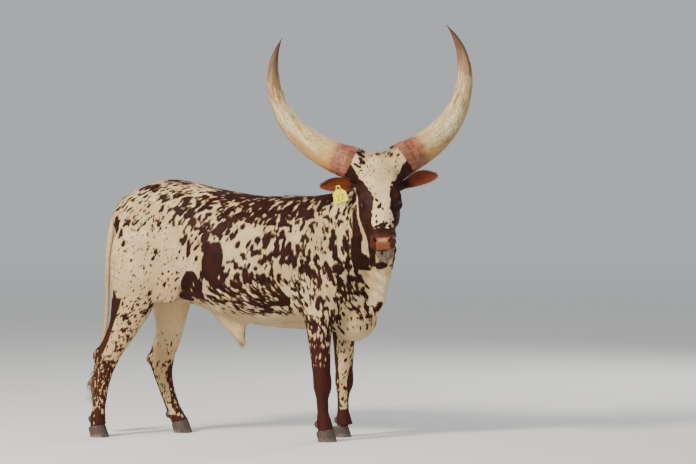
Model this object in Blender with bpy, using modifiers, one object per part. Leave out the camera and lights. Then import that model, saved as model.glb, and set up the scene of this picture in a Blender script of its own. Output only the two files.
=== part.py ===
"""A life-size Ankole Watusi steer that stands on four feet with its head turned to its right.

The flesh is one run of lofts and muscles, fused, smoothed and parted by thin cuts into trunk, neck,
head and legs. Horns, ears, eyes, hooves, tail and ear tag are separate solids that meet it.
Metres, +X towards the chest, +Y to the animal's left, +Z up, the floor at z = 0.
"""

import math
import random

import bmesh
import bpy
import numpy as np
from mathutils import Matrix, Vector

# Frame: the origin stands below the middle of the whole model's box
ORIGIN_SHIFT = Vector((-0.2002, 0.0835, 0.0))

# Gap between pieces that touch
GAP = 0.0003

# Edges sharper than this stay sharp in the shading
SHARP_EDGE = math.radians(40)

# Head, which has its own frame: along (poll to muzzle), side (to its left) and front (off the face)
POLL = Vector((0.811, -0.202, 1.524))
HEAD_TURN = math.radians(-75)
HEAD_ROLL = math.radians(3)
FACE_SLOPE = math.radians(32)

# Eyes and lids
EYE_AT = (0.279, 0.0877, -0.0447)
EYE_RADIUS = 0.0195
EYE_CORNERS = 14
EYE_TURN = math.radians(42)
LID_OPENING = (0.0205, 0.0105, 0.020)

# Horns: headings are angles above the side axis of the horns' own roll, in their leaning plane
HORN_ROLL = math.radians(4)
HORN_ROOT = {"right": (0.000, 0.142, -0.078), "left": (-0.014, 0.139, -0.078)}
HORN_RADIUS = 0.088
HORN_HEADING = {
    "right": (math.radians(22), math.radians(122)),
    "left": (math.radians(20.5), math.radians(127)),
}
HORN_CUT_HEADING = math.radians(33)
HORN_LEAN = math.radians(10)
HORN_SWEEP = 0.06
HORN_LENGTH = {"right": 0.876, "left": 0.872}
HORN_BEND = {"right": 1.30, "left": 1.20}

# Ears
EAR_ROOT = (0.126, 0.124, -0.122)
EAR_LENGTH = 0.190
EAR_WIDTH = 0.080
EAR_RISE = {"right": math.radians(5.5), "left": math.radians(13)}
EAR_STUB_RADIUS = 0.025
EAR_RIM = 0.0015
EAR_CLEARANCE = 0.0015

# Ear tag and its stud
TAG_SIZE = (0.077, 0.050)
TAG_NECK = 0.030
TAG_THICKNESS = 0.002
STUD_RADIUS = 0.0032
STUD_FRONT = 0.0150
STUD_BACK = -0.0135

# Feet
CORONET_HEIGHT = 0.060
CORONET_SLOPE = 0.30
CLAW_LENGTH = 0.048
CLAW_WIDTH = 0.046
CLAW_SPREAD = 0.0135
CLAW_TAPER = 0.13
DEWCLAW_CORNERS = 8
DEWCLAW_RADII = (0.014, 0.0115, 0.019)
DEWCLAW_LEAN = math.radians(-25)

# Tail
TAIL_TOP = Vector((-0.697, 0.0, 1.190))
TAIL_LEAVES = Vector((-0.36, 0.0, -0.93)).normalized()
TAIL_HALVES = 0.78
SWITCH_X = -0.787
SWITCH_TOP = 0.44
SWITCH_TIP = 0.135
SWITCH_TRAIL = 0.030
SWITCH_LOCKS = 18

# Mesh sizes of the fused flesh
VOXEL = 0.0055
SMOOTHING = 84
BODY_TRIANGLES = 4300
HEAD_TRIANGLES = 2300

WORLD_UP = Vector((0, 0, 1))
LATERAL = Vector((0, 1, 0))

# The trunk: x, top, bottom, half width, height of the widest place, squareness above and below
TRUNK = [
    (-0.694, 1.160, 1.000, 0.060, 1.090, 2.0, 2.0),
    (-0.674, 1.230, 0.920, 0.115, 1.100, 2.1, 2.0),
    (-0.632, 1.290, 0.850, 0.165, 1.105, 2.1, 2.0),
    (-0.545, 1.345, 0.790, 0.205, 1.110, 2.2, 2.0),
    (-0.410, 1.382, 0.750, 0.222, 1.100, 2.4, 2.0),
    (-0.275, 1.368, 0.712, 0.236, 1.060, 2.6, 2.0),
    (-0.160, 1.342, 0.672, 0.258, 1.010, 2.4, 2.0),
    (-0.020, 1.316, 0.630, 0.275, 0.950, 2.1, 2.1),
    (0.100, 1.300, 0.602, 0.276, 0.930, 1.95, 2.1),
    (0.210, 1.297, 0.590, 0.262, 0.930, 1.85, 2.1),
    (0.330, 1.297, 0.584, 0.236, 0.930, 1.75, 2.0),
    (0.450, 1.300, 0.575, 0.208, 0.930, 1.75, 1.9),
    (0.560, 1.250, 0.580, 0.172, 0.900, 1.9, 1.9),
    (0.640, 1.140, 0.600, 0.128, 0.860, 2.0, 2.0),
    (0.690, 1.020, 0.640, 0.075, 0.820, 2.0, 2.0),
]

# The neck, along a path that bends to the right: x, y, z, half width, rise, drop
NECK = [
    (0.300, 0.000, 1.000, 0.200, 0.280, 0.340),
    (0.480, 0.000, 1.030, 0.185, 0.283, 0.330),
    (0.605, -0.018, 1.090, 0.150, 0.257, 0.260),
    (0.700, -0.058, 1.162, 0.120, 0.222, 0.205),
    (0.770, -0.115, 1.225, 0.104, 0.205, 0.170),
    (0.815, -0.175, 1.270, 0.100, 0.165, 0.140),
]

# The dewlap, down the front of the neck: x, y, z, half thickness, forward, backward
DEWLAP = [
    (0.856, -0.195, 1.130, 0.055, 0.050, 0.090),
    (0.838, -0.130, 1.020, 0.044, 0.052, 0.085),
    (0.812, -0.080, 0.920, 0.034, 0.050, 0.090),
    (0.785, -0.045, 0.830, 0.029, 0.048, 0.090),
    (0.762, -0.018, 0.745, 0.030, 0.046, 0.085),
    (0.725, -0.004, 0.690, 0.045, 0.040, 0.080),
]

# The head: along, front, back, half width, front coordinate of the widest place, squareness
SKULL = [
    (-0.012, -0.045, -0.120, 0.070, -0.080, 2.2),
    (0.015, -0.016, -0.150, 0.098, -0.080, 2.3),
    (0.070, 0.000, -0.180, 0.108, -0.080, 2.5),
    (0.140, 0.004, -0.200, 0.105, -0.080, 2.7),
    (0.210, 0.004, -0.222, 0.106, -0.085, 2.7),
    (0.270, 0.000, -0.235, 0.102, -0.095, 2.5),
    (0.320, -0.006, -0.215, 0.089, -0.100, 2.4),
    (0.370, -0.011, -0.183, 0.076, -0.095, 2.4),
    (0.420, -0.014, -0.155, 0.067, -0.085, 2.4),
    (0.465, -0.016, -0.138, 0.067, -0.078, 2.5),
    (0.500, -0.022, -0.130, 0.069, -0.074, 2.6),
    (0.520, -0.034, -0.122, 0.062, -0.074, 2.5),
    (0.531, -0.052, -0.104, 0.042, -0.076, 2.2),
]

# Balls on the head: along, side, front, then their radii in the same order. All but the first are paired
POLL_BALL = ((0.018, 0.0, -0.070), (0.058, 0.105, 0.070))
CHIN_BALL = ((0.496, 0.0, -0.140), (0.046, 0.050, 0.036))
LIP_BALL = ((0.494, 0.0, -0.070), (0.034, 0.073, 0.044))
HEAD_BALLS = [
    ((0.279, 0.0890, -0.055), (0.036, 0.0285, 0.028)),
    ((0.240, 0.0830, -0.045), (0.045, 0.0310, 0.034)),
    ((0.270, 0.0640, -0.150), (0.090, 0.0380, 0.075)),
    ((0.335, 0.0560, -0.075), (0.070, 0.0330, 0.040)),
    ((0.490, 0.0390, -0.045), (0.026, 0.0230, 0.026)),
]

# Nostrils: a place on the head, radii of the hollow, and how far its long axis turns outward
NOSTRIL_BALLS = [
    ((0.500, 0.032, -0.040), (0.0120, 0.0085, 0.012), math.radians(40)),
    ((0.489, 0.043, -0.040), (0.0100, 0.0040, 0.008), math.radians(70)),
]

# Upper legs and feet: x, y, z, half length fore and aft, half width
FRONT_LEG = [
    (0.505, 0.140, 0.820, 0.120, 0.072),
    (0.490, 0.155, 0.700, 0.098, 0.062),
    (0.478, 0.157, 0.590, 0.074, 0.055),
    (0.482, 0.156, 0.515, 0.063, 0.051),
    (0.487, 0.155, 0.420, 0.055, 0.047),
    (0.492, 0.154, 0.350, 0.051, 0.047),
    (0.496, 0.153, 0.302, 0.054, 0.051),
    (0.495, 0.152, 0.262, 0.046, 0.045),
    (0.494, 0.151, 0.228, 0.036, 0.036),
    (0.496, 0.150, 0.170, 0.033, 0.033),
    (0.499, 0.150, 0.130, 0.036, 0.037),
    (0.503, 0.150, 0.102, 0.043, 0.043),
    (0.509, 0.150, 0.076, 0.042, 0.043),
    (0.514, 0.150, 0.056, 0.047, 0.047),
    (0.517, 0.150, 0.036, 0.048, 0.048),
]
HIND_LEG_BACK = [
    (-0.470, 0.125, 1.140, 0.165, 0.080),
    (-0.505, 0.150, 0.990, 0.180, 0.092),
    (-0.527, 0.162, 0.870, 0.162, 0.090),
    (-0.548, 0.166, 0.760, 0.134, 0.080),
    (-0.577, 0.169, 0.665, 0.106, 0.068),
    (-0.607, 0.172, 0.590, 0.086, 0.057),
    (-0.645, 0.175, 0.518, 0.073, 0.049),
    (-0.681, 0.178, 0.455, 0.069, 0.045),
    (-0.705, 0.180, 0.400, 0.066, 0.044),
    (-0.717, 0.181, 0.345, 0.054, 0.040),
    (-0.725, 0.182, 0.290, 0.045, 0.037),
    (-0.734, 0.184, 0.215, 0.039, 0.035),
    (-0.741, 0.186, 0.155, 0.038, 0.036),
    (-0.746, 0.187, 0.108, 0.043, 0.043),
    (-0.745, 0.187, 0.080, 0.043, 0.043),
    (-0.743, 0.187, 0.057, 0.047, 0.047),
    (-0.741, 0.187, 0.036, 0.048, 0.048),
]
HIND_LEG_FORWARD = [
    (-0.430, 0.125, 1.140, 0.165, 0.080),
    (-0.435, 0.150, 0.990, 0.176, 0.092),
    (-0.436, 0.162, 0.870, 0.155, 0.090),
    (-0.441, 0.166, 0.760, 0.126, 0.080),
    (-0.449, 0.169, 0.665, 0.103, 0.068),
    (-0.453, 0.172, 0.585, 0.085, 0.057),
    (-0.470, 0.175, 0.510, 0.078, 0.049),
    (-0.491, 0.178, 0.450, 0.074, 0.045),
    (-0.502, 0.180, 0.400, 0.073, 0.044),
    (-0.502, 0.181, 0.345, 0.063, 0.041),
    (-0.491, 0.182, 0.290, 0.052, 0.038),
    (-0.470, 0.184, 0.215, 0.044, 0.036),
    (-0.449, 0.186, 0.155, 0.041, 0.037),
    (-0.430, 0.187, 0.108, 0.043, 0.043),
    (-0.414, 0.187, 0.080, 0.043, 0.043),
    (-0.401, 0.187, 0.057, 0.047, 0.047),
    (-0.391, 0.187, 0.036, 0.048, 0.048),
]

# The sheath's fold under the belly: x, y, z, half width, forward, backward
SHEATH = [
    (-0.040, 0.0, 0.680, 0.060, 0.100, 0.130),
    (-0.030, 0.0, 0.620, 0.040, 0.075, 0.085),
    (-0.012, 0.0, 0.560, 0.027, 0.044, 0.048),
    (0.002, 0.0, 0.512, 0.020, 0.025, 0.026),
    (0.008, 0.0, 0.490, 0.012, 0.013, 0.014),
]

# Muscles and bones under the skin, paired left and right: centre, radii, turn in the side view
BODY_BALLS = [
    ((0.435, 0.118, 0.960), (0.150, 0.072, 0.230), 16),
    ((0.520, 0.135, 0.830), (0.125, 0.072, 0.150), -20),
    ((0.385, 0.148, 0.800), (0.120, 0.064, 0.130), 0),
    ((-0.520, 0.105, 1.150), (0.175, 0.100, 0.150), 20),
    ((-0.320, 0.164, 1.266), (0.080, 0.038, 0.055), 0),
    ((-0.655, 0.085, 1.165), (0.042, 0.034, 0.050), 0),
    ((-0.385, 0.178, 0.830), (0.100, 0.040, 0.130), -35),
]
BRISKET_BALL = ((0.630, 0.0, 0.650), (0.125, 0.105, 0.128), 0)
CHEST_BALL = ((0.590, 0.0, 0.800), (0.150, 0.135, 0.200), 0)
HOCK_POINTS = {"right": (-0.752, -0.178, 0.450), "left": (-0.566, 0.178, 0.408)}
HOCK_RADII = (0.027, 0.022, 0.045)

# Cutting planes: a point, and the direction of the piece that is parted off
NECK_CUT = (Vector((0.545, 0.0, 1.040)), Vector((0.86, 0.0, 0.51)))
HEAD_CUT_ALONG = ((0.000, -0.178), (0.300, -0.250))
FRONT_LEG_BOX = (Vector((0.500, 0.270, 0.330)), Vector((0.150, 0.178, 0.350)), -16)
HIND_LEG_BOX = (Vector((-0.540, 0.275, 0.440)), Vector((0.270, 0.262, 0.460)), -18)
KNEE_CUT = {"front_right": 0.262, "front_left": 0.262, "hind_right": 0.375, "hind_left": 0.370}

COLOURS = {
    "coat": (0.63, 0.52, 0.39),
    "dark_coat": (0.09, 0.03, 0.02),
    "ear_skin": (0.42, 0.14, 0.05),
    "horn": (0.62, 0.53, 0.38),
    "hoof": (0.07, 0.05, 0.04),
    "eye": (0.02, 0.012, 0.01),
    "tag": (0.90, 0.85, 0.14),
    "stud": (0.02, 0.02, 0.02),
}


# The head's axes in the model's frame
FACING = Vector((math.cos(HEAD_TURN), math.sin(HEAD_TURN), 0))


def rolled(roll):
    """The axis to the animal's left and the upward axis of a head rolled by an angle."""
    level = WORLD_UP.cross(FACING)
    side = level * math.cos(roll) + WORLD_UP * math.sin(roll)
    return side, WORLD_UP * math.cos(roll) - level * math.sin(roll)


SIDE, HEAD_UP = rolled(HEAD_ROLL)
HORN_SIDE, HORN_UP = rolled(HORN_ROLL)
ALONG = FACING * math.sin(FACE_SLOPE) - HEAD_UP * math.cos(FACE_SLOPE)
FRONT = FACING * math.cos(FACE_SLOPE) + HEAD_UP * math.sin(FACE_SLOPE)


def on_head(along, side, front):
    """A point of the head's frame in the model's frame."""
    return POLL + ALONG * along + SIDE * side + FRONT * front


def head_matrix(along, side, front):
    """A frame at a point of the head, with its axes along, side and front."""
    turn = Matrix((ALONG, SIDE, FRONT)).transposed().to_4x4()
    return Matrix.Translation(on_head(along, side, front)) @ turn


def through(rows, steps):
    """Rows of numbers made into a smooth run, with steps from each row to the next."""
    table = np.array(rows, float)
    ends = np.vstack([2 * table[0] - table[1], table, 2 * table[-1] - table[-2]])
    run = []
    for k in range(len(table) - 1):
        before, start, end, after = ends[k : k + 4]
        for t in np.arange(steps) / steps:
            cubic = 3 * start - before - 3 * end + after
            square = 2 * before - 5 * start + 4 * end - after
            run.append(start + 0.5 * ((end - before) * t + square * t**2 + cubic * t**3))
    return np.array(run + [table[-1]])


# Solid shapes
def ring(centre, side, up, half_side, rise, drop, square_up=2.0, square_down=2.0, count=28):
    """A rounded outline: half_side to each side, rise above and drop below its centre."""
    points = []
    for k in range(count):
        angle = 2 * math.pi * k / count
        across, high = math.cos(angle), math.sin(angle)
        power = 2 / (square_up if high > 0 else square_down)
        reach = rise if high > 0 else drop
        points.append(
            centre
            + side * (half_side * math.copysign(abs(across) ** power, across))
            + up * (reach * math.copysign(abs(high) ** power, high))
        )
    return points


def add_loft(bm, rings):
    """A closed skin over rings of points that have the same count."""
    rows = [[bm.verts.new(point) for point in points] for points in rings]
    count = len(rows[0])
    faces = [
        bm.faces.new((low[k], low[(k + 1) % count], high[(k + 1) % count], high[k]))
        for low, high in zip(rows, rows[1:])
        for k in range(count)
    ]
    faces += [bm.faces.new(list(reversed(rows[0]))), bm.faces.new(rows[-1])]
    bmesh.ops.recalc_face_normals(bm, faces=faces)


def add_ball(bm, matrix, radii, around=24):
    """An ellipsoid with these radii along the matrix's axes, and so many corners around it."""
    scaled = matrix @ Matrix.Diagonal((*radii, 1.0))
    bmesh.ops.create_uvsphere(bm, u_segments=around, v_segments=around * 5 // 8, radius=1.0, matrix=scaled)


def tube_rings(rows, reference, count=28):
    """Rings square to a path. A row holds x, y, z, half side, and the reaches ahead and behind."""
    places = [Vector(row[:3]) for row in rows]
    rings = []
    for k, row in enumerate(rows):
        run = (places[min(k + 1, len(rows) - 1)] - places[max(k - 1, 0)]).normalized()
        side = reference.cross(run).normalized()
        up = run.cross(side).normalized()
        rings.append(ring(places[k], side, up, row[3], row[4], row[5], count=count))
    return rings


def new_object(name, bm, collection, colour="coat"):
    """A mesh object with its own material."""
    mesh = bpy.data.meshes.new(name)
    bm.to_mesh(mesh)
    bm.free()
    obj = bpy.data.objects.new(name, mesh)
    collection.objects.link(obj)
    paint(obj, colour)
    return obj


def paint(obj, colour):
    """Gives an object a plain material of its own."""
    material = bpy.data.materials.new(f"{obj.name}_{colour}")
    material.use_nodes = True
    shader = material.node_tree.nodes["Principled BSDF"]
    shader.inputs["Base Color"].default_value = (*COLOURS[colour], 1.0)
    shader.inputs["Roughness"].default_value = 0.35 if colour in ("eye", "horn", "tag") else 0.75
    shader.inputs["Metallic"].default_value = 0.0
    obj.data.materials.clear()
    obj.data.materials.append(material)


def bake(obj):
    """Replaces an object's mesh by the one that its modifiers make."""
    bpy.context.view_layer.update()
    shown = obj.evaluated_get(bpy.context.evaluated_depsgraph_get())
    mesh = bpy.data.meshes.new_from_object(shown)
    obj.modifiers.clear()
    old, obj.data = obj.data, mesh
    bpy.data.meshes.remove(old)
    return obj


def keep_largest(obj):
    """Drops every closed surface but the largest, which fills sealed hollows."""
    bm = bmesh.new()
    bm.from_mesh(obj.data)
    bm.verts.ensure_lookup_table()
    left, islands = set(bm.verts), []
    while left:
        island, edge = set(), {left.pop()}
        while edge:
            island |= edge
            near = {e.other_vert(v) for v in edge for e in v.link_edges}
            edge = near - island
        left -= island
        islands.append(island)
    islands.sort(key=len)
    for island in islands[:-1]:
        bmesh.ops.delete(bm, geom=list(island), context="VERTS")
    bmesh.ops.triangulate(bm, faces=bm.faces)
    bm.to_mesh(obj.data)
    bm.free()
    return obj


def combine(obj, cutter, operation, solver="EXACT"):
    """Applies a Boolean with a helper object, which is removed after."""
    modifier = obj.modifiers.new(operation.lower(), "BOOLEAN")
    modifier.operation = operation
    modifier.solver = solver
    modifier.object = cutter
    bake(obj)
    bpy.data.objects.remove(cutter)
    return keep_largest(obj)


def box_cutter(name, matrix, half_sizes, grown, helpers):
    """A box with these half sizes along the matrix's axes, grown on every side."""
    bm = bmesh.new()
    reach = [2 * (half + grown) for half in half_sizes]
    bmesh.ops.create_cube(bm, size=1.0, matrix=matrix @ Matrix.Diagonal((*reach, 1.0)))
    obj = new_object(name, bm, helpers)
    obj.hide_render = True
    obj.display_type = "WIRE"
    return obj


def part_off(whole, name, matrix, half_sizes, model, helpers):
    """Cuts the piece inside a box off the whole, with the gap between them, and returns it."""
    piece = whole.copy()
    piece.data = whole.data.copy()
    piece.name = name
    model.objects.link(piece)
    combine(piece, box_cutter("piece_box", matrix, half_sizes, 0.0, helpers), "INTERSECT")
    combine(whole, box_cutter("rest_box", matrix, half_sizes, GAP, helpers), "DIFFERENCE")
    paint(piece, "coat")
    return piece


def facing_box(point, direction, half_size):
    """The matrix of a box whose one face holds the point and which lies ahead of it."""
    ahead = direction.normalized()
    turn = ahead.to_track_quat("Z", "Y").to_matrix().to_4x4()
    return Matrix.Translation(point + ahead * half_size) @ turn


def mirrored(point, flip):
    """The point of the animal's other side where flip is -1."""
    return (point[0], point[1] * flip, point[2])


# Flesh
def add_trunk(bm):
    """Chest, belly and rump as upright rings from the tail to the chest."""
    rings = []
    for x, top, bottom, half, widest, above, below in through(TRUNK, 3):
        centre = Vector((x, 0, widest))
        rings.append(
            ring(centre, LATERAL, WORLD_UP, half, top - widest, widest - bottom, above, below, 40)
        )
    add_loft(bm, rings)


def add_neck(bm):
    """The neck, its hanging dewlap and the fold of the sheath."""
    add_loft(bm, tube_rings(through(NECK, 4), WORLD_UP, 36))
    add_loft(bm, tube_rings(through(DEWLAP, 4), LATERAL.cross(WORLD_UP), 24))
    add_loft(bm, tube_rings(through(SHEATH, 3), LATERAL.cross(WORLD_UP), 24))


def add_muscles(bm):
    """Shoulders, rump, hips, pins, stifles, chest and brisket."""
    paired = [
        (mirrored(centre, flip), radii, turn)
        for centre, radii, turn in BODY_BALLS
        for flip in (-1, 1)
    ]
    for centre, radii, turn in [*paired, BRISKET_BALL, CHEST_BALL]:
        tilt = Matrix.Rotation(math.radians(turn), 4, "Y")
        add_ball(bm, Matrix.Translation(centre) @ tilt, radii)
    for point in HOCK_POINTS.values():
        add_ball(bm, Matrix.Translation(point) @ Matrix.Rotation(math.radians(35), 4, "Y"), HOCK_RADII)


def leg_rows():
    """The four legs' rows, each named, with the left side mirrored."""
    shift = 0.022
    front_left = [(x + shift + 0.05 * z, y, z, a, b) for x, y, z, a, b in FRONT_LEG]
    return {
        "front_right": [(x, -y, z, a, b) for x, y, z, a, b in FRONT_LEG],
        "front_left": front_left,
        "hind_right": [(x, -y, z, a, b) for x, y, z, a, b in HIND_LEG_BACK],
        "hind_left": HIND_LEG_FORWARD,
    }


LEGS = leg_rows()


def add_leg(bm, rows):
    """One leg from the body down to the foot."""
    run = [(x, y, z, wide, long, long) for x, y, z, long, wide in through(rows, 2)]
    add_loft(bm, tube_rings(run, Vector((1, 0, 0)), 24))


def add_head(bm):
    """Skull, jaws, poll, muzzle, brows and the stubs that horns and ears grow from."""
    rings = []
    for along, front, back, half, widest, square in through(SKULL, 3):
        centre = on_head(along, 0, widest)
        rings.append(ring(centre, SIDE, FRONT, half, front - widest, widest - back, square, square, 36))
    add_loft(bm, rings)
    for centre, radii in (POLL_BALL, CHIN_BALL, LIP_BALL):
        add_ball(bm, head_matrix(*centre), radii)
    for flip in (-1, 1):
        for centre, radii in HEAD_BALLS:
            add_ball(bm, head_matrix(*mirrored(centre, flip)), radii)
        root, out, _ = horn_base(flip)
        stub = HORN_RADIUS * 1.03
        add_loft(bm, straight_rings(root - out * 0.10, root + out * 0.015, stub, stub))
        root, out, *_ = ear_base(flip)
        stub = EAR_STUB_RADIUS
        add_loft(bm, straight_rings(root - out * 0.06, root + out * 0.015, stub * 1.2, stub))


def straight_rings(start, end, start_radius, end_radius, count=28):
    """Two round rings square to the line between their centres."""
    run = (end - start).normalized()
    side = run.orthogonal().normalized()
    up = run.cross(side)
    return [
        ring(start, side, up, start_radius, start_radius, start_radius, count=count),
        ring(end, side, up, end_radius, end_radius, end_radius, count=count),
    ]


def add_tail_dock(bm):
    """The thick root of the tail at the top of the rump, down to where the tail is parted."""
    rows = [
        (-0.590, 0.0, 1.275, 0.048, 0.044, 0.044),
        (-0.645, 0.0, 1.255, 0.041, 0.037, 0.037),
        (-0.679, 0.0, 1.225, 0.035, 0.031, 0.031),
        (TAIL_TOP.x - 0.008, 0.0, TAIL_TOP.z - 0.025, 0.029, 0.027, 0.027),
    ]
    add_loft(bm, tube_rings(through(rows, 3), Vector((1, 0, 0)), 20))


def thin_out(obj, group, triangles):
    """Lowers an object's triangles to a number, and takes them from the vertices of one group."""
    obj.data.calc_loop_triangles()
    thin = obj.modifiers.new("thin", "DECIMATE")
    thin.ratio = triangles / len(obj.data.loop_triangles)
    thin.vertex_group = group
    thin.vertex_group_factor = 100.0
    bake(obj)


def fused_flesh(helpers):
    """All the flesh as one closed skin, with the head kept finest."""
    bm = bmesh.new()
    add_trunk(bm)
    add_neck(bm)
    add_muscles(bm)
    for rows in LEGS.values():
        add_leg(bm, rows)
    add_head(bm)
    add_tail_dock(bm)
    flesh = new_object("torso", bm, helpers)
    remesh = flesh.modifiers.new("fuse", "REMESH")
    remesh.mode = "VOXEL"
    remesh.voxel_size = VOXEL
    bake(flesh)
    keep_largest(flesh)
    soft = flesh.vertex_groups.new(name="soft")
    body = flesh.vertex_groups.new(name="body")
    head = flesh.vertex_groups.new(name="head")
    head_heart = on_head(0.26, 0, -0.10)
    head_count = 0
    for vertex in flesh.data.vertices:
        away = (vertex.co - head_heart).length
        on_body = min(1.0, max(0.0, (away - 0.30) / 0.12))
        leg_share = min(1.0, max(0.18, vertex.co.z / 0.62))
        soft.add([vertex.index], max(0.16, on_body * leg_share), "REPLACE")
        (body if on_body > 0 else head).add([vertex.index], 1.0, "REPLACE")
        head_count += on_body == 0
    smooth = flesh.modifiers.new("smooth", "SMOOTH")
    smooth.factor = 0.6
    smooth.iterations = SMOOTHING
    smooth.vertex_group = "soft"
    bake(flesh)
    thin_out(flesh, "body", BODY_TRIANGLES + 2 * head_count)
    thin_out(flesh, "head", BODY_TRIANGLES + HEAD_TRIANGLES)
    flesh.vertex_groups.clear()
    return keep_largest(flesh)


# Head details cut in the fused flesh
def surface_point(flesh, start, direction):
    """The place where a ray from outside meets the flesh."""
    found, place, *_ = flesh.ray_cast(start, direction)
    return place if found else start


def groove_cutter(name, points, radius, helpers):
    """A round bar along points, as a mesh that can cut."""
    curve = bpy.data.curves.new(name, "CURVE")
    curve.dimensions = "3D"
    curve.bevel_depth = radius
    curve.bevel_resolution = 2
    curve.use_fill_caps = True
    spline = curve.splines.new("POLY")
    spline.points.add(len(points) - 1)
    for spot, point in zip(spline.points, points):
        spot.co = (*point, 1.0)
    bar = bpy.data.objects.new(name, curve)
    helpers.objects.link(bar)
    bpy.context.view_layer.update()
    shown = bar.evaluated_get(bpy.context.evaluated_depsgraph_get())
    mesh = bpy.data.meshes.new_from_object(shown)
    bm = bmesh.new()
    bm.from_mesh(mesh)
    bmesh.ops.remove_doubles(bm, verts=bm.verts, dist=1e-5)
    bmesh.ops.recalc_face_normals(bm, faces=bm.faces)
    bpy.data.objects.remove(bar)
    bpy.data.meshes.remove(mesh)
    cutter = new_object(name, bm, helpers)
    cutter.hide_render = True
    return cutter


def ball_cutter(name, matrix, radii, around, helpers):
    """An ellipsoid that can cut."""
    bm = bmesh.new()
    add_ball(bm, matrix, radii, around)
    cutter = new_object(name, bm, helpers)
    cutter.hide_render = True
    return cutter


def eye_gaze(flip):
    """The way an eye looks: out to its side, a little forward."""
    return (SIDE * (flip * math.cos(EYE_TURN)) + FRONT * math.sin(EYE_TURN)).normalized()


def cut_eye_socket(head, flip, helpers):
    """Leaves the almond opening between two lids, and the eyeball's seat behind it."""
    centre = on_head(*mirrored(EYE_AT, flip))
    gaze = eye_gaze(flip)
    slit = (ALONG * 0.97 + FRONT * 0.24).normalized()
    slit = (slit - gaze * slit.dot(gaze)).normalized()
    almond = Matrix((slit, gaze.cross(slit), gaze)).transposed().to_4x4()
    opening = Matrix.Translation(centre + gaze * (EYE_RADIUS + 0.004)) @ almond
    combine(head, ball_cutter("opening", opening, LID_OPENING, EYE_CORNERS, helpers), "DIFFERENCE")
    seat = Matrix.Translation(centre) @ gaze.to_track_quat("Z", "Y").to_matrix().to_4x4()
    reach = EYE_RADIUS + GAP
    combine(head, ball_cutter("seat", seat, (reach, reach, reach), EYE_CORNERS, helpers), "DIFFERENCE")


def cut_nostril(head, flip, helpers):
    """A comma-shaped nostril beside the nose pad: a round hollow with a slit that curls up and out."""
    inward = (ALONG * -0.45 - FRONT - SIDE * (0.35 * flip)).normalized()
    for place, radii, turn in NOSTRIL_BALLS:
        spot = on_head(*mirrored(place, flip))
        spot = surface_point(head, spot - inward * 0.1, inward)
        run = ALONG * -math.cos(turn) + SIDE * (flip * math.sin(turn))
        run = (run - inward * run.dot(inward)).normalized()
        axes = Matrix((run, inward.cross(run), inward)).transposed().to_4x4()
        cutter = ball_cutter("nostril", Matrix.Translation(spot) @ axes, radii, 10, helpers)
        combine(head, cutter, "DIFFERENCE")


def cut_mouth(head, helpers):
    """The line between the lips, round the muzzle from corner to corner."""
    points = []
    for step in range(25):
        angle = math.pi * (step / 24 - 0.5)
        spread, reach = math.sin(angle), math.cos(angle)
        target = on_head(0.425 + 0.060 * reach, 0.030 * spread, -0.094)
        outward = (SIDE * spread + ALONG * (reach - 0.08)).normalized()
        points.append(surface_point(head, target + outward * 0.2, -outward))
    combine(head, groove_cutter("mouth", points, 0.0032, helpers), "DIFFERENCE")


# Horns, ears and tag
def horn_base(flip):
    """Where a horn leaves the head, the way it leaves, and the upward axis of its leaning plane."""
    root = on_head(*mirrored(HORN_ROOT["left" if flip > 0 else "right"], flip))
    rising = HORN_UP * math.cos(HORN_LEAN) - FACING * math.sin(HORN_LEAN)
    heading = HORN_CUT_HEADING
    out = HORN_SIDE * (flip * math.cos(heading)) + rising * math.sin(heading)
    return root, out.normalized(), rising


def horn_rows(name, flip):
    """The horn's centres and radii from inside its root to its tip."""
    root, _, rising = horn_base(flip)
    steps, start = 21, 0.05
    stride = HORN_LENGTH[name] / steps
    low, high = HORN_HEADING[name]
    outward = HORN_SIDE * flip
    place = root - (outward * math.cos(low) + rising * math.sin(low)) * start
    rows = [(*place, HORN_RADIUS, HORN_RADIUS, HORN_RADIUS)]
    place = root.copy()
    for step in range(steps):
        share = step / steps
        radius = HORN_RADIUS * (1 - share**1.2) ** 0.92
        back = FACING * (-HORN_SWEEP * math.sin(math.pi * min(1.0, share * 1.15)))
        rows.append((*(place + back), radius, radius, radius))
        heading = low + (high - low) * ((share + 0.5 / steps) ** HORN_BEND[name])
        place = place + (outward * math.cos(heading) + rising * math.sin(heading)) * stride
    tip = HORN_RADIUS * 0.045
    rows.append((*place, tip, tip, tip))
    return rows


def make_horn(name, flip, model, helpers):
    """One horn, its root face lying on the head's stub."""
    bm = bmesh.new()
    add_loft(bm, tube_rings(horn_rows(name, flip), FACING, 14))
    horn = new_object(f"horn_{name}", bm, model, "horn")
    root, out, _ = horn_base(flip)
    box = facing_box(root + out * GAP, -out, 0.3)
    combine(horn, box_cutter("root_box", box, (0.3, 0.3, 0.3), 0.0, helpers), "DIFFERENCE")


def ear_base(flip):
    """Where an ear leaves the head, and its axes: outward, across and the way its cup opens."""
    rise = EAR_RISE["left" if flip > 0 else "right"]
    root = on_head(EAR_ROOT[0], EAR_ROOT[1] * flip, EAR_ROOT[2])
    out = SIDE * (flip * math.cos(rise)) + HEAD_UP * math.sin(rise) - FACING * 0.06
    out.normalize()
    opens = (FACING * 0.93 - HEAD_UP * 0.30).normalized()
    opens = (opens - out * opens.dot(out)).normalized()
    return root, out, opens.cross(out).normalized() * flip, opens


def cup_ring(centre, across, opens, width, depth, thickness, rim, count=7):
    """A crescent outline: a curved back, a hollow front and a rim of some thickness."""
    shares = np.linspace(-1, 1, count)
    back = [
        centre + across * (width / 2 * v) - opens * ((depth + thickness) * (1 - v * v) + rim)
        for v in shares
    ]
    hollow = [
        centre + across * (width / 2 * v) - opens * (depth * (1 - v * v) - rim)
        for v in reversed(shares)
    ]
    return back + hollow


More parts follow.
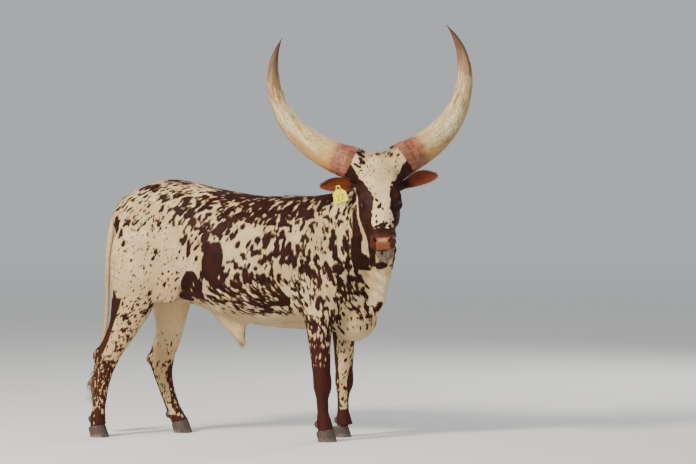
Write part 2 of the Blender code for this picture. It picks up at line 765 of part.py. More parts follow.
# The ear's rows: share of its length, width share, cup depth, thickness
EAR_ROWS = [
    (0.00, 0.52, -0.016, 0.034),
    (0.10, 0.60, -0.002, 0.028),
    (0.22, 0.80, 0.010, 0.016),
    (0.38, 0.96, 0.014, 0.009),
    (0.54, 1.00, 0.014, 0.007),
    (0.70, 0.88, 0.012, 0.006),
    (0.84, 0.62, 0.009, 0.005),
    (0.94, 0.34, 0.005, 0.004),
    (1.00, 0.08, 0.001, 0.003),
]


def ear_place(flip, share):
    """The middle of the ear's width at a share of its length, a little arched."""
    root, out, across, opens = ear_base(flip)
    arch = 0.012 * math.sin(math.pi * share)
    return root + out * (EAR_LENGTH * share + GAP) + across * arch - opens * (0.3 * arch)


def ear_mesh(flip, grown):
    """The ear's mesh, thicker by a clearance all round where it is to cut."""
    _, _, across, opens = ear_base(flip)
    bm = bmesh.new()
    rings = [
        cup_ring(
            ear_place(flip, share), across, opens, EAR_WIDTH * wide + 2 * grown, depth, thick, EAR_RIM + grown
        )
        for share, wide, depth, thick in EAR_ROWS
    ]
    add_loft(bm, rings)
    bmesh.ops.triangulate(bm, faces=bm.faces)
    return bm


def tag_frame():
    """The tag's hang from the right ear: its stud's place, then wide, down, outward and the pin's axis."""
    _, _, across, opens = ear_base(-1)
    down = (FACING * 0.03 - HEAD_UP * 0.985 + SIDE * 0.17).normalized()
    outward = SIDE.cross(down)
    outward = (outward if outward.dot(FACING) > 0 else -outward).normalized()
    wide = down.cross(outward).normalized()
    stud = ear_place(-1, 0.50) - across * 0.016 - opens * 0.0107
    return stud, wide, down, outward, opens


def make_tag(model, helpers):
    """The ear tag: a plate with a narrow neck, pierced by the stud."""
    stud, wide, down, outward, opens = tag_frame()
    half, deep = TAG_SIZE[0] / 2, TAG_SIZE[1]
    outline = [
        (-0.010, 0.010), (0.010, 0.010), (0.013, -0.008), (half * 0.92, -TAG_NECK),
        (half, -TAG_NECK - deep), (-half, -TAG_NECK - deep), (-half * 0.92, -TAG_NECK), (-0.013, -0.008),
    ]
    face = stud + opens * 0.0085
    bm = bmesh.new()
    rings = [
        [face + wide * x - down * y + outward * (TAG_THICKNESS * layer) for x, y in outline]
        for layer in (0, 1)
    ]
    add_loft(bm, rings)
    tag = new_object("ear_tag", bm, model, "tag")
    bm = bmesh.new()
    reach = STUD_RADIUS + GAP
    add_loft(bm, straight_rings(stud - opens * 0.05, stud + opens * 0.05, reach, reach, 12))
    hole = new_object("stud_hole", bm, helpers)
    hole.hide_render = True
    return tag, hole


def make_stud(ear, tag, hole, model, helpers):
    """The stud: a pin through ear and tag with a button at each end."""
    stud, _, _, _, opens = tag_frame()
    second = hole.copy()
    second.data = hole.data.copy()
    helpers.objects.link(second)
    combine(ear, hole, "DIFFERENCE")
    combine(tag, second, "DIFFERENCE")
    front, back = STUD_FRONT, STUD_BACK
    bm = bmesh.new()
    start, end = stud + opens * (back - 0.001), stud + opens * (front + 0.001)
    add_loft(bm, straight_rings(start, end, STUD_RADIUS, STUD_RADIUS, 12))
    pin = new_object("ear_tag_stud", bm, model, "stud")
    for start, end, radius in ((front, front + 0.004, 0.0075), (back - 0.003, back, 0.012)):
        bm = bmesh.new()
        add_loft(bm, straight_rings(stud + opens * start, stud + opens * end, radius, radius, 12))
        button = new_object("button", bm, helpers)
        button.hide_render = True
        combine(pin, button, "UNION")


# Feet
def coronet(foot_x, x):
    """The height of the sloping plane where hoof and leg meet, at a place x."""
    return CORONET_HEIGHT + CORONET_SLOPE * (x - foot_x)


def make_claw(name, foot_x, foot_y, flip, model):
    """One claw of a cloven hoof: flat sole, flat towards the cleft, sloping toe."""
    count, levels = 12, 3
    rings = []
    for level in range(levels + 1):
        share = level / levels
        grow = 1.0 - CLAW_TAPER * share
        shift = 0.006 - 0.018 * share
        points = []
        for k in range(count):
            angle = 2 * math.pi * k / count
            along = math.copysign(abs(math.cos(angle)) ** 0.9, math.cos(angle))
            across = math.sin(angle)
            if across < 0:
                across *= 0.30
            x = foot_x + shift + along * CLAW_LENGTH * grow
            toe = max(0.0, along) ** 2 * 0.16
            y = foot_y + flip * (CLAW_SPREAD + across * (CLAW_WIDTH - CLAW_SPREAD) * grow * (1 - toe))
            top = coronet(foot_x, x) - GAP
            points.append(Vector((x, y, share * top)))
        rings.append(points)
    bm = bmesh.new()
    add_loft(bm, rings)
    bmesh.ops.triangulate(bm, faces=bm.faces)
    new_object(name, bm, model, "hoof")


def make_dewclaw(name, leg, row, flip, model, helpers):
    """A small horny dewclaw set in the back of the fetlock."""
    x, y, z, long = row[:4]
    centre = Vector((x - long * 0.80, y + flip * 0.020, z - 0.012))
    seat = tuple(radius + GAP for radius in DEWCLAW_RADII)
    place = Matrix.Translation(centre) @ Matrix.Rotation(DEWCLAW_LEAN, 4, "Y")
    combine(leg, ball_cutter("dewclaw_seat", place, seat, DEWCLAW_CORNERS, helpers), "DIFFERENCE")
    bm = bmesh.new()
    add_ball(bm, place, DEWCLAW_RADII, DEWCLAW_CORNERS)
    new_object(name, bm, model, "hoof")


# Tail
def tail_rows():
    """The tail's path: back off the rump, then straight down behind the thighs."""
    rows = [
        (TAIL_TOP.x, 0.0, TAIL_TOP.z, 0.025),
        (-0.725, 0.0, 1.115, 0.0205),
        (-0.744, -0.002, 1.000, 0.0180),
        (-0.751, -0.004, 0.880, 0.0165),
        (-0.753, -0.006, 0.740, 0.0150),
        (-0.760, -0.006, 0.600, 0.0140),
        (-0.776, -0.003, 0.520, 0.0130),
        (SWITCH_X, 0.0, SWITCH_TOP + 0.03, 0.0130),
        (SWITCH_X, 0.0, SWITCH_TOP - 0.01, 0.0130),
    ]
    return [(x, y, z, r, r, r) for x, y, z, r in through(rows, 2)]


def make_tail(model, helpers):
    """The tail in two lengths above its switch."""
    run = tail_rows()
    start = TAIL_TOP - TAIL_LEAVES * 0.04
    rows = [(*start, 0.026, 0.026, 0.026), *run]
    bm = bmesh.new()
    add_loft(bm, tube_rings(rows, Vector((1, 0, 0)), 12))
    lower = new_object("tail_lower", bm, model)
    box = facing_box(TAIL_TOP + TAIL_LEAVES * GAP, -TAIL_LEAVES, 0.1)
    combine(lower, box_cutter("dock_box", box, (0.1, 0.1, 0.1), 0.0, helpers), "DIFFERENCE")
    end = facing_box(Vector((SWITCH_X, 0, SWITCH_TOP)), -WORLD_UP, 0.1)
    combine(lower, box_cutter("end_box", end, (0.1, 0.1, 0.1), 0.0, helpers), "DIFFERENCE")
    middle = Vector((-0.75, 0, TAIL_HALVES))
    part_off(lower, "tail_upper", facing_box(middle, WORLD_UP, 0.3), (0.1, 0.1, 0.3), model, helpers)


def lock_mesh(root, angle, length, width, thickness, flare, sway):
    """A flat, tapered lock of hair that leaves its root, bends, trails backward and hangs."""
    outward = Vector((math.cos(angle), math.sin(angle), 0))
    across = WORLD_UP.cross(outward)
    rings = []
    for share in (0.0, 0.35, 0.7, 1.0):
        drop = length * share
        out = flare * math.sin(math.pi * 0.62 * share)
        drift = sway * math.sin(math.pi * 1.3 * share)
        centre = root + outward * out - WORLD_UP * drop + across * drift
        centre.x -= SWITCH_TRAIL * share**1.5
        taper = (0.75 + 0.7 * share) * (1 - share**1.8) + 0.05
        half_wide, half_thick = width / 2 * taper, thickness / 2 * max(taper, 0.2)
        rings.append([
            centre + across * half_wide, centre + outward * half_thick,
            centre - across * half_wide, centre - outward * half_thick,
        ])
    bm = bmesh.new()
    add_loft(bm, rings)
    bmesh.ops.triangulate(bm, faces=bm.faces)
    return bm


def make_switch(model, helpers):
    """The tail's brush: a core with locks in tiers that hang from it."""
    dice = random.Random(7)
    x, y = SWITCH_X, 0.0
    rows = [
        (x, y, SWITCH_TOP - GAP, 0.0125, 0.0125, 0.0125),
        (x - 0.002, y, SWITCH_TOP - 0.05, 0.018, 0.018, 0.018),
        (x - 0.004, y, SWITCH_TOP - 0.12, 0.016, 0.016, 0.016),
        (x - 0.006, y, SWITCH_TOP - 0.19, 0.006, 0.006, 0.006),
    ]
    bm = bmesh.new()
    side, ahead = LATERAL, Vector((1, 0, 0))
    rings = [ring(Vector(row[:3]), side, -ahead, *row[3:], count=12) for row in through(rows, 2)]
    add_loft(bm, rings)
    switch = new_object("tail_switch", bm, model, "dark_coat")
    locks = bpy.data.collections.new("locks")
    helpers.children.link(locks)
    for k in range(SWITCH_LOCKS):
        tier = k / (SWITCH_LOCKS - 1)
        angle = k * 2.399963 + dice.uniform(-0.2, 0.2)
        height = SWITCH_TOP - 0.018 - 0.13 * tier
        length = min(height - SWITCH_TIP, dice.uniform(0.15, 0.20) - 0.02 * tier)
        root = Vector((x - 0.003, y, height)) + Vector((math.cos(angle), math.sin(angle), 0)) * 0.006
        hair = lock_mesh(root, angle, length, dice.uniform(0.015, 0.020), dice.uniform(0.006, 0.008),
                         dice.uniform(0.016, 0.030), dice.uniform(-0.010, 0.010))
        lock = new_object(f"lock_{k}", hair, locks)
        lock.hide_render = True
    union = switch.modifiers.new("locks", "BOOLEAN")
    union.operation = "UNION"
    union.solver = "EXACT"
    union.operand_type = "COLLECTION"
    union.collection = locks
    bake(switch)
    for lock in list(locks.objects):
        bpy.data.objects.remove(lock)
    bpy.data.collections.remove(locks)
    keep_largest(switch)


# Parting the flesh
def part_flesh(flesh, model, helpers):
    """Parts head, neck and legs off the fused flesh, which stays as the torso, and returns the head."""
    (low_along, low_front), (high_along, high_front) = HEAD_CUT_ALONG
    slope = ALONG * (high_along - low_along) + FRONT * (high_front - low_front)
    ahead = slope.cross(SIDE).normalized()
    ahead = ahead if ahead.dot(FRONT) > 0 else -ahead
    middle = on_head((low_along + high_along) / 2, 0, (low_front + high_front) / 2)
    head = part_off(flesh, "head", facing_box(middle, ahead, 0.5), (0.5, 0.5, 0.5), model, helpers)
    point, direction = NECK_CUT
    part_off(flesh, "neck", facing_box(point, direction, 0.5), (0.7, 0.7, 0.5), model, helpers)
    for name, rows in LEGS.items():
        flip = 1 if name.endswith("left") else -1
        centre, half_sizes, lean = FRONT_LEG_BOX if name.startswith("front") else HIND_LEG_BOX
        move = rows[3][0] - (FRONT_LEG if name.startswith("front") else HIND_LEG_BACK)[3][0]
        place = Vector((centre.x + move, centre.y * flip, centre.z))
        turn = Matrix.Rotation(math.radians(lean * flip), 4, "X")
        box = Matrix.Translation(place) @ turn
        leg = part_off(flesh, f"{name}_upper_leg", box, half_sizes, model, helpers)
        finish_leg(leg, name, rows, flip, model, helpers)
    return head


def finish_leg(leg, name, rows, flip, model, helpers):
    """Parts the lower leg off, trims it to the coronet, and gives it claws and dewclaws."""
    low = [row for row in rows if row[2] < 0.2]
    foot_x, foot_y = low[-1][0], low[-1][1]
    knee = Vector((rows[8][0], foot_y, KNEE_CUT[name]))
    box = facing_box(knee, Vector((0, 0, -1)), 0.25)
    lower = part_off(leg, f"{name}_lower_leg", box, (0.25, 0.25, 0.25), model, helpers)
    slope = Vector((CORONET_SLOPE, 0, -1)).normalized()
    box = facing_box(Vector((foot_x, foot_y, CORONET_HEIGHT)), slope, 0.1)
    combine(lower, box_cutter("hoof_box", box, (0.15, 0.15, 0.1), 0.0, helpers), "DIFFERENCE")
    fetlock = next(row for row in rows if row[2] < 0.11)
    for side, word in ((1, "outer"), (-1, "inner")):
        make_claw(f"{name}_{word}_hoof", foot_x, foot_y, side * flip, model)
        make_dewclaw(f"{name}_{word}_dewclaw", lower, fetlock, side * flip, model, helpers)


def trim_stubs(flesh, helpers):
    """Cuts the stubs of horns, ears and tail flat, where their own pieces meet them."""
    for flip in (-1, 1):
        root, out, _ = horn_base(flip)
        box = box_cutter("horn_box", facing_box(root, out, 0.12), (0.13, 0.13, 0.12), 0.0, helpers)
        combine(flesh, box, "DIFFERENCE")
        root, out, *_ = ear_base(flip)
        bm = bmesh.new()
        reach = EAR_STUB_RADIUS * 1.3
        add_loft(bm, straight_rings(root, root + out * 0.024, reach, reach))
        combine(flesh, new_object("ear_plug", bm, helpers), "DIFFERENCE")
        combine(flesh, new_object("ear_room", ear_mesh(flip, EAR_CLEARANCE), helpers), "DIFFERENCE")
    dock = facing_box(TAIL_TOP, TAIL_LEAVES, 0.05)
    combine(flesh, box_cutter("tail_box", dock, (0.05, 0.05, 0.05), 0.0, helpers), "DIFFERENCE")


def finish_head(head, helpers):
    """Cuts eyes, nostrils and mouth."""
    for flip in (-1, 1):
        cut_nostril(head, flip, helpers)
        cut_eye_socket(head, flip, helpers)
    cut_mouth(head, helpers)


def make_eye(name, flip, model):
    """One round eyeball in its seat."""
    bm = bmesh.new()
    turn = eye_gaze(flip).to_track_quat("Z", "Y").to_matrix().to_4x4()
    matrix = Matrix.Translation(on_head(*mirrored(EYE_AT, flip))) @ turn
    add_ball(bm, matrix, (EYE_RADIUS, EYE_RADIUS, EYE_RADIUS), EYE_CORNERS)
    new_object(f"eye_{name}", bm, model, "eye")


def clear_scene():
    """Removes what the file opened with."""
    for obj in list(bpy.data.objects):
        bpy.data.objects.remove(obj)


def main():
    clear_scene()
    scene = bpy.context.scene
    model = bpy.data.collections.new("ankole_watusi")
    helpers = bpy.data.collections.new("helpers")
    scene.collection.children.link(model)
    scene.collection.children.link(helpers)
    flesh = fused_flesh(helpers)
    helpers.objects.unlink(flesh)
    model.objects.link(flesh)
    trim_stubs(flesh, helpers)
    head = part_flesh(flesh, model, helpers)
    finish_head(head, helpers)
    ears = {}
    for name, flip in (("right", -1), ("left", 1)):
        make_eye(name, flip, model)
        make_horn(name, flip, model, helpers)
        ears[name] = new_object(f"ear_{name}", ear_mesh(flip, 0.0), model, "ear_skin")
    tag, hole = make_tag(model, helpers)
    make_stud(ears["right"], tag, hole, model, helpers)
    make_tail(model, helpers)
    make_switch(model, helpers)
    for obj in model.objects:
        obj.location = obj.location + ORIGIN_SHIFT
        obj.data.shade_smooth()
        obj.data.set_sharp_from_angle(angle=SHARP_EDGE)
    bpy.data.collections.remove(helpers)


main()
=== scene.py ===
"""Looks for the life-size steer: one marked skin with a short coat, horns, eyes, hooves, tail brush and tag.

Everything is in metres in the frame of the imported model: +X towards the chest, +Y to the animal's left.
"""

import math

import bmesh
import bpy
import numpy as np
from mathutils import Matrix, Vector


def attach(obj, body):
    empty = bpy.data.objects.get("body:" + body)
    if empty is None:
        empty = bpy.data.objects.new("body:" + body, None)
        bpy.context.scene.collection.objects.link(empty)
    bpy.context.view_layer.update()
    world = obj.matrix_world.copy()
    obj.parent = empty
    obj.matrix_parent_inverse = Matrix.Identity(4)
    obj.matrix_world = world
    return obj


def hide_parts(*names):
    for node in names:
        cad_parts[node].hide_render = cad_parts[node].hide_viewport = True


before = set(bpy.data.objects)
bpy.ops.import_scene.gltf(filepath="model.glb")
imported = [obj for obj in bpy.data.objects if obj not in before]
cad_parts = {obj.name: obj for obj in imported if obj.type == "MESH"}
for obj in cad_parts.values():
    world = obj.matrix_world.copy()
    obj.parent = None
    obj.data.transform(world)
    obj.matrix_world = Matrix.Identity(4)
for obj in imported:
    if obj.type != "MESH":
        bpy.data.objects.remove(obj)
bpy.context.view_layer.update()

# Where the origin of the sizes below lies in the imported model's frame
SHIFT = np.array((-0.2002, 0.0835, 0.0))

LEGS = ["front_left", "front_right", "hind_left", "hind_right"]
FLESH = ["torso", "neck", "head", "tail_upper", "tail_lower"]
FLESH += [f"{leg}_{half}_leg" for leg in LEGS for half in ("upper", "lower")]
DEWCLAWS = [f"{leg}_{side}_dewclaw" for leg in LEGS for side in ("inner", "outer")]

# The head's frame: along (poll to muzzle), side (to its left) and front (off the face)
POLL = np.array((0.811, -0.202, 1.524)) + SHIFT
HEAD_TURN = math.radians(-75)
HEAD_ROLL = math.radians(3)
FACE_SLOPE = math.radians(32)
LEVEL = math.tan(FACE_SLOPE)
UP = np.array((0.0, 0.0, 1.0))

# Boxes in the head's frame: limits along, half width, and limits of front
HEAD_BOX = ((-0.08, 0.60), 0.17, (-0.27, 0.06))
MUZZLE_BOX = ((0.43, 0.60), 0.12, (-0.19, 0.05))
HEAD_BACK = 0.178
HEAD_BACK_SLOPE = 0.24

# The jaw's edge in a view of the face: level on the face and half width
JAW_EDGE = [
    (0.10, 0.150), (0.179, 0.132), (0.258, 0.118), (0.308, 0.118), (0.382, 0.117), (0.447, 0.102),
    (0.496, 0.088), (0.536, 0.080), (0.600, 0.077), (0.660, 0.072),
]

# Skin
VOXEL = 0.0065
SEAM = 0.0005
COAT_DEPTH = 0.0022
RELAX_STEPS = (0.5, -0.53)
RELAX_ROUNDS = 40
RELAX_ROUNDS_FINE = 14

# Coat
TUFTS = 300000
TUFT_LENGTH = 0.0120
TUFT_LENGTH_LOW = 0.0100
TUFT_LENGTH_FOOT = 0.0075
TUFT_LENGTH_EYE = 0.0036
TUFT_LENGTH_BESIDE_FACE = 0.0085
TUFT_LIFT = 0.095
TUFT_SINK = 0.0011
TUFT_PATCH = 0.0015
HAIR_RINGS = 4

# Eyes and lids, in the head's frame
EYE_AT = (0.279, 0.0877, -0.0447)
EYE_RADIUS = 0.0195
EYE_DETAIL = 0.046
EYE_NEAR = 0.034
EYE_AROUND, EYE_ROWS = 64, 40
EYE_TURN = math.radians(42)
SLIT = (0.0182, 0.0088, 0.0088)
LID = 0.0024
LASHES = 46
NOSTRIL_AT = (0.502, 0.0345, -0.040)

# Horns
HORN_ROLL = math.radians(4)
HORN_ROOT = {"right": (0.000, 0.142, -0.078), "left": (-0.014, 0.139, -0.078)}
HORN_RADIUS = 0.088
HORN_SINK = 0.03
HORN_FIBRES = (9, 14, 23, 31, 17, 6)
HORN_STEPS = 170
HORN_AROUND = 72
HORN_HEADING = {
    "right": (math.radians(22), math.radians(122)),
    "left": (math.radians(20.5), math.radians(127)),
}
HORN_LEAN = math.radians(10)
HORN_SWEEP = 0.06
HORN_LENGTH = {"right": 0.876, "left": 0.872}
HORN_BEND = {"right": 1.30, "left": 1.20}
SHEATH_SWELL = 0.28
SHEATH_SHRINK = 0.010

# Ears. A row holds shares of length and width, the cup's depth and the ear's thickness
EAR_ROOT = (0.126, 0.124, -0.122)
EAR_LENGTH = 0.190
EAR_WIDTH = 0.080
EAR_ARCH = 0.012
EAR_BESIDE = 0.056
EAR_BEYOND = 0.22
EAR_STEPS = 6
EAR_AROUND = 26
EAR_HAIRS = 560
EAR_RISE = {"right": math.radians(5.5), "left": math.radians(13)}
EAR_ROWS = [
    (-0.16, 0.40, -0.020, 0.030),
    (0.00, 0.52, -0.016, 0.034),
    (0.10, 0.60, -0.002, 0.028),
    (0.22, 0.80, 0.010, 0.016),
    (0.38, 0.96, 0.014, 0.009),
    (0.54, 1.00, 0.014, 0.007),
    (0.70, 0.88, 0.012, 0.006),
    (0.84, 0.62, 0.009, 0.005),
    (0.94, 0.34, 0.005, 0.004),
    (1.00, 0.08, 0.001, 0.003),
]

# Tail
SWITCH_X = -0.787
SWITCH_TOP = 0.44
TAIL_FRONT = -0.70
TAIL_ENDS = (0.42, 1.21)
BRUSH_LOCKS = 210
BRUSH_STEPS = 12
BRUSH_STRAY = 0.30
BRUSH_FLOOR = 0.142
BRUSH_THINNEST = 0.00025

# The view of the photograph: pixels to metres, and the camera's turn round the animal
PIXELS_PER_METRE = 188.0
VIEW_ORIGIN = (240, 440)
VIEW_TURN = math.radians(15)
VIEW_RISE = math.radians(2)
VIEW_CENTRE = np.array((0.594, 0.0, 1.106)) + SHIFT
VIEW_DISTANCE = 20.0
VIEW_WIDTH = 3.70
SENSOR_WIDTH = 36
FLOOR_REACH = 400.0
HORIZON = (0.80, 0.82, 0.85)
BLACK = (0.0, 0.0, 0.0)
SKY_STRENGTH = 0.60


# The regions of the coat, in the order of their pieces
COAT_REGIONS = [
    "face_right", "neck", "flank_left", "flank_right", "front_left", "front_right", "hind_left", "hind_right",
    "shoulder_left", "shoulder_right", "face_left",
]

# Where those regions part: lengths ahead of the origin, and heights
SHOULDER_FROM = 0.10
NECK_FROM, NECK_ABOVE = 0.56, 0.60
FORELEG_REGION, FORELEG_TOP = (0.28, 0.72), 0.72
HIND_LEG_REGION, HIND_LEG_TOP = -0.28, 0.86

# How far inside a dark mark a point counts as lying, in metres: well outside, inside, and the limits
OUTSIDE, INSIDE = -0.02, 0.02
DEPTH_LIMITS = (OUTSIDE, 0.05)


# Small vector helpers
def unit(vectors):
    """Vectors scaled to length 1."""
    return vectors / np.maximum(np.linalg.norm(vectors, axis=-1, keepdims=True), 1e-9)


def smooth(low, high, value):
    """A soft step from 0 at low to 1 at high."""
    share = np.clip((value - low) / (high - low), 0.0, 1.0)
    return share * share * (3 - 2 * share)


def hump(value, centre, width):
    """A soft bump of height 1 at a centre."""
    return np.exp(-(((value - centre) / width) ** 2))


def read_off(value, rows):
    """A run of pairs read off at values, level beyond its ends."""
    return np.interp(value, *zip(*rows))


def lattice_noise(points, scale, seed=0.0):
    """Smooth random numbers from -1 to 1 over space, with lumps of about 1 / scale."""
    spot = points * scale + 100.0
    corner = np.floor(spot)
    share = spot - corner
    share = share * share * (3 - 2 * share)
    total = np.zeros(len(points))
    for step in np.ndindex(2, 2, 2):
        place = corner + step
        seeded = np.sin(place @ np.array((12.9898, 78.233, 37.719)) + seed) * 43758.5453
        weight = np.where(np.array(step) == 1, share, 1 - share).prod(1)
        total += weight * (2 * (seeded - np.floor(seeded)) - 1)
    return total


def rolled(roll):
    """The axis to the animal's left and the upward axis of a head rolled by an angle."""
    level = np.cross(UP, FACING)
    side = level * math.cos(roll) + UP * math.sin(roll)
    return side, UP * math.cos(roll) - level * math.sin(roll)


FACING = np.array((math.cos(HEAD_TURN), math.sin(HEAD_TURN), 0))
SIDE, HEAD_UP = rolled(HEAD_ROLL)
HORN_SIDE, HORN_UP = rolled(HORN_ROLL)
ALONG = FACING * math.sin(FACE_SLOPE) - HEAD_UP * math.cos(FACE_SLOPE)
FRONT = FACING * math.cos(FACE_SLOPE) + HEAD_UP * math.sin(FACE_SLOPE)


def on_head(along, side, front):
    """A point of the head's frame in the model's frame."""
    return POLL + ALONG * along + SIDE * side + FRONT * front


def on_side(place, flip):
    """A point of the head's frame on the animal's left for flip 1 and on its right for -1."""
    along, side, front = place
    return on_head(along, side * flip, front)


def head_place(points):
    """Points in the head's frame, as arrays along, side and front."""
    offset = points - POLL
    return offset @ ALONG, offset @ SIDE, offset @ FRONT


def through(rows, steps):
    """Rows of numbers made into a smooth run, with steps from each row to the next."""
    table = np.array(rows, float)
    ends = np.vstack([2 * table[0] - table[1], table, 2 * table[-1] - table[-2]])
    run = []
    for k in range(len(table) - 1):
        before, start, end, after = ends[k : k + 4]
        for t in np.arange(steps) / steps:
            cubic = 3 * start - before - 3 * end + after
            square = 2 * before - 5 * start + 4 * end - after
            run.append(start + 0.5 * ((end - before) * t + square * t**2 + cubic * t**3))
    return np.array(run + [table[-1]])


# Meshes and numbers
def linked(name, data):
    """A new object in the scene that shows some data."""
    piece = bpy.data.objects.new(name, data)
    bpy.context.scene.collection.objects.link(piece)
    return piece


def add_object(name, mesh, material=None):
    """An object that shows a mesh, smooth shaded."""
    piece = linked(name, mesh)
    if material:
        mesh.materials.append(material)
    mesh.polygons.foreach_set("use_smooth", np.ones(len(mesh.polygons), bool))
    return piece


def recolour(mesh, material):
    """Gives a mesh one material in place of those that it has."""
    mesh.materials.clear()
    mesh.materials.append(material)


def mesh_of(name, points, faces):
    """A mesh from an array of points and an array of faces that have the same number of corners."""
    mesh = bpy.data.meshes.new(name)
    corners = faces.shape[1]
    mesh.vertices.add(len(points))
    mesh.vertices.foreach_set("co", points.astype(np.float32).ravel())
    mesh.loops.add(faces.size)
    mesh.loops.foreach_set("vertex_index", faces.astype(np.int32).ravel())
    mesh.polygons.add(len(faces))
    mesh.polygons.foreach_set("loop_start", np.arange(0, faces.size, corners, dtype=np.int32))
    mesh.update(calc_edges=True)
    return mesh


def shown_mesh(piece):
    """A new mesh of what an object shows."""
    bpy.context.view_layer.update()
    return bpy.data.meshes.new_from_object(piece.evaluated_get(bpy.context.evaluated_depsgraph_get()))


def baked(piece):
    """Replaces an object's mesh by the one that its modifiers make."""
    mesh = shown_mesh(piece)
    piece.modifiers.clear()
    old, piece.data = piece.data, mesh
    bpy.data.meshes.remove(old)
    return piece


def points_of(mesh):
    """A mesh's points as an array."""
    points = np.empty(len(mesh.vertices) * 3, np.float32)
    mesh.vertices.foreach_get("co", points)
    return points.reshape(-1, 3).astype(float)


def normals_of(mesh):
    """A mesh's normals at its points as an array."""
    normals = np.empty(len(mesh.vertices) * 3, np.float32)
    mesh.vertex_normals.foreach_get("vector", normals)
    return normals.reshape(-1, 3).astype(float)


def edges_of(mesh):
    """The ends of a mesh's edges as an array."""
    ends = np.empty(len(mesh.edges) * 2, np.int32)
    mesh.edges.foreach_get("vertices", ends)
    return ends.reshape(-1, 2)


def set_points(mesh, points):
    """Moves a mesh's points."""
    mesh.vertices.foreach_set("co", points.astype(np.float32).ravel())
    mesh.update()


def add_vectors(mesh, name, vectors):
    """Stores three numbers at each point of a mesh."""
    layer = mesh.attributes.new(name, "FLOAT_VECTOR", "POINT")
    layer.data.foreach_set("vector", vectors.astype(np.float32).ravel())


def around_mean(points, ends, degree):
    """Each point's neighbours' mean."""
    total = np.empty_like(points)
    for axis in range(3):
        column = points[:, axis]
        total[:, axis] = np.bincount(ends[:, 0], column[ends[:, 1]], len(points))
        total[:, axis] += np.bincount(ends[:, 1], column[ends[:, 0]], len(points))
    return total / degree[:, None]


def relaxed(points, ends, rounds, weight):
    """Points smoothed without shrinking, by steps forth and back."""
    degree = np.maximum(np.bincount(ends.ravel(), minlength=len(points)), 1)
    for _ in range(rounds):
        for factor in RELAX_STEPS:
            points = points + (around_mean(points, ends, degree) - points) * (factor * weight)[:, None]
    return points


# The skin
def fused_flesh():
    """The flesh nodes, with the eyes and dewclaws filled in, as one closed mesh of even squares."""
    bm = bmesh.new()
    for node in FLESH + DEWCLAWS + ["eye_left", "eye_right"]:
        bm.from_mesh(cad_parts[node].data)
    bmesh.ops.remove_doubles(bm, verts=bm.verts, dist=1e-5)
    bmesh.ops.recalc_face_normals(bm, faces=bm.faces)
    bm.normal_update()
    for vert in bm.verts:
        vert.co += vert.normal * SEAM
    mesh = bpy.data.meshes.new("skin")
    bm.to_mesh(mesh)
    bm.free()
    skin = add_object("skin", mesh)
    remesh = skin.modifiers.new("squares", "REMESH")
    remesh.mode = "VOXEL"
    remesh.voxel_size = VOXEL
    return baked(skin)


def keep_largest(mesh):
    """Drops every closed surface but the largest."""
    ends = edges_of(mesh)
    label = np.arange(len(mesh.vertices))
    while True:
        lowest = label.copy()
        np.minimum.at(lowest, ends[:, 0], label[ends[:, 1]])
        np.minimum.at(lowest, ends[:, 1], label[ends[:, 0]])
        lowest = lowest[lowest]
        if (lowest == label).all():
            break
        label = lowest
    names, counts = np.unique(label, return_counts=True)
    if len(names) == 1:
        return
    main = names[counts.argmax()]
    bm = bmesh.new()
    bm.from_mesh(mesh)
    bm.verts.ensure_lookup_table()
    bmesh.ops.delete(bm, geom=[bm.verts[k] for k in np.flatnonzero(label != main)], context="VERTS")
    bm.to_mesh(mesh)
    bm.free()


def refine(mesh, chosen):
    """Halves the edges whose two ends are both chosen."""
    bm = bmesh.new()
    bm.from_mesh(mesh)
    picked = chosen(points_of(mesh))
    edges = [edge for edge in bm.edges if picked[edge.verts[0].index] and picked[edge.verts[1].index]]
    bmesh.ops.subdivide_edges(bm, edges=edges, cuts=1, use_grid_fill=True)
    bm.to_mesh(mesh)
    bm.free()


def in_box(points, box):
    """Whether points lie in a box of the head's frame."""
    along, side, front = head_place(points)
    (top, bottom), half, (back, fore) = box
    return (along > top) & (along < bottom) & (abs(side) < half) & (front > back) & (front < fore)


def in_head(points):
    """Whether points lie in the head's box."""
    return in_box(points, HEAD_BOX)


def ear_share(points, start=0.0, end=0.022):
    """How fully points belong to an ear, from 0 on the head to 1 out along it."""
    share = np.zeros(len(points))
    for flip in (-1, 1):
        root, out, _, _ = ear_base(flip)
        offset = points - root
        far = offset @ out
        beside = np.linalg.norm(offset - far[:, None] * out, axis=1)
        share = np.maximum(share, smooth(start, end, far) * (beside < EAR_BESIDE) * (far < EAR_BEYOND))
    return share


def past_jaw(points):
    """How far points lie outside the jaw's edge in a view of the face."""
    along, side, front = head_place(points)
    return abs(side) - read_off(along - LEVEL * front, JAW_EDGE)


def head_share(points):
    """How fully points belong to the head or an ear, from 0 on the neck behind the jaw to 1."""
    along, _, front = head_place(points)
    ahead = front + HEAD_BACK + HEAD_BACK_SLOPE * np.maximum(along, -0.02)
    share = smooth(-0.006, 0.008, ahead) * in_head(points)
    behind = smooth(-0.115, -0.130, front) * smooth(0.15, 0.18, along)
    share *= 1 - behind * smooth(-0.002, 0.004, past_jaw(points))
    return np.maximum(share, ear_share(points))


def is_head(points):
    """Whether points lie on the head or an ear."""
    return head_share(points) > 0.5


def in_detail(points):
    """Whether points lie by an eye or on the muzzle."""
    by_eye = np.zeros(len(points), bool)
    for flip in (-1, 1):
        by_eye |= np.linalg.norm(points - on_side(EYE_AT, flip), axis=1) < EYE_DETAIL
    return by_eye | in_box(points, MUZZLE_BOX)


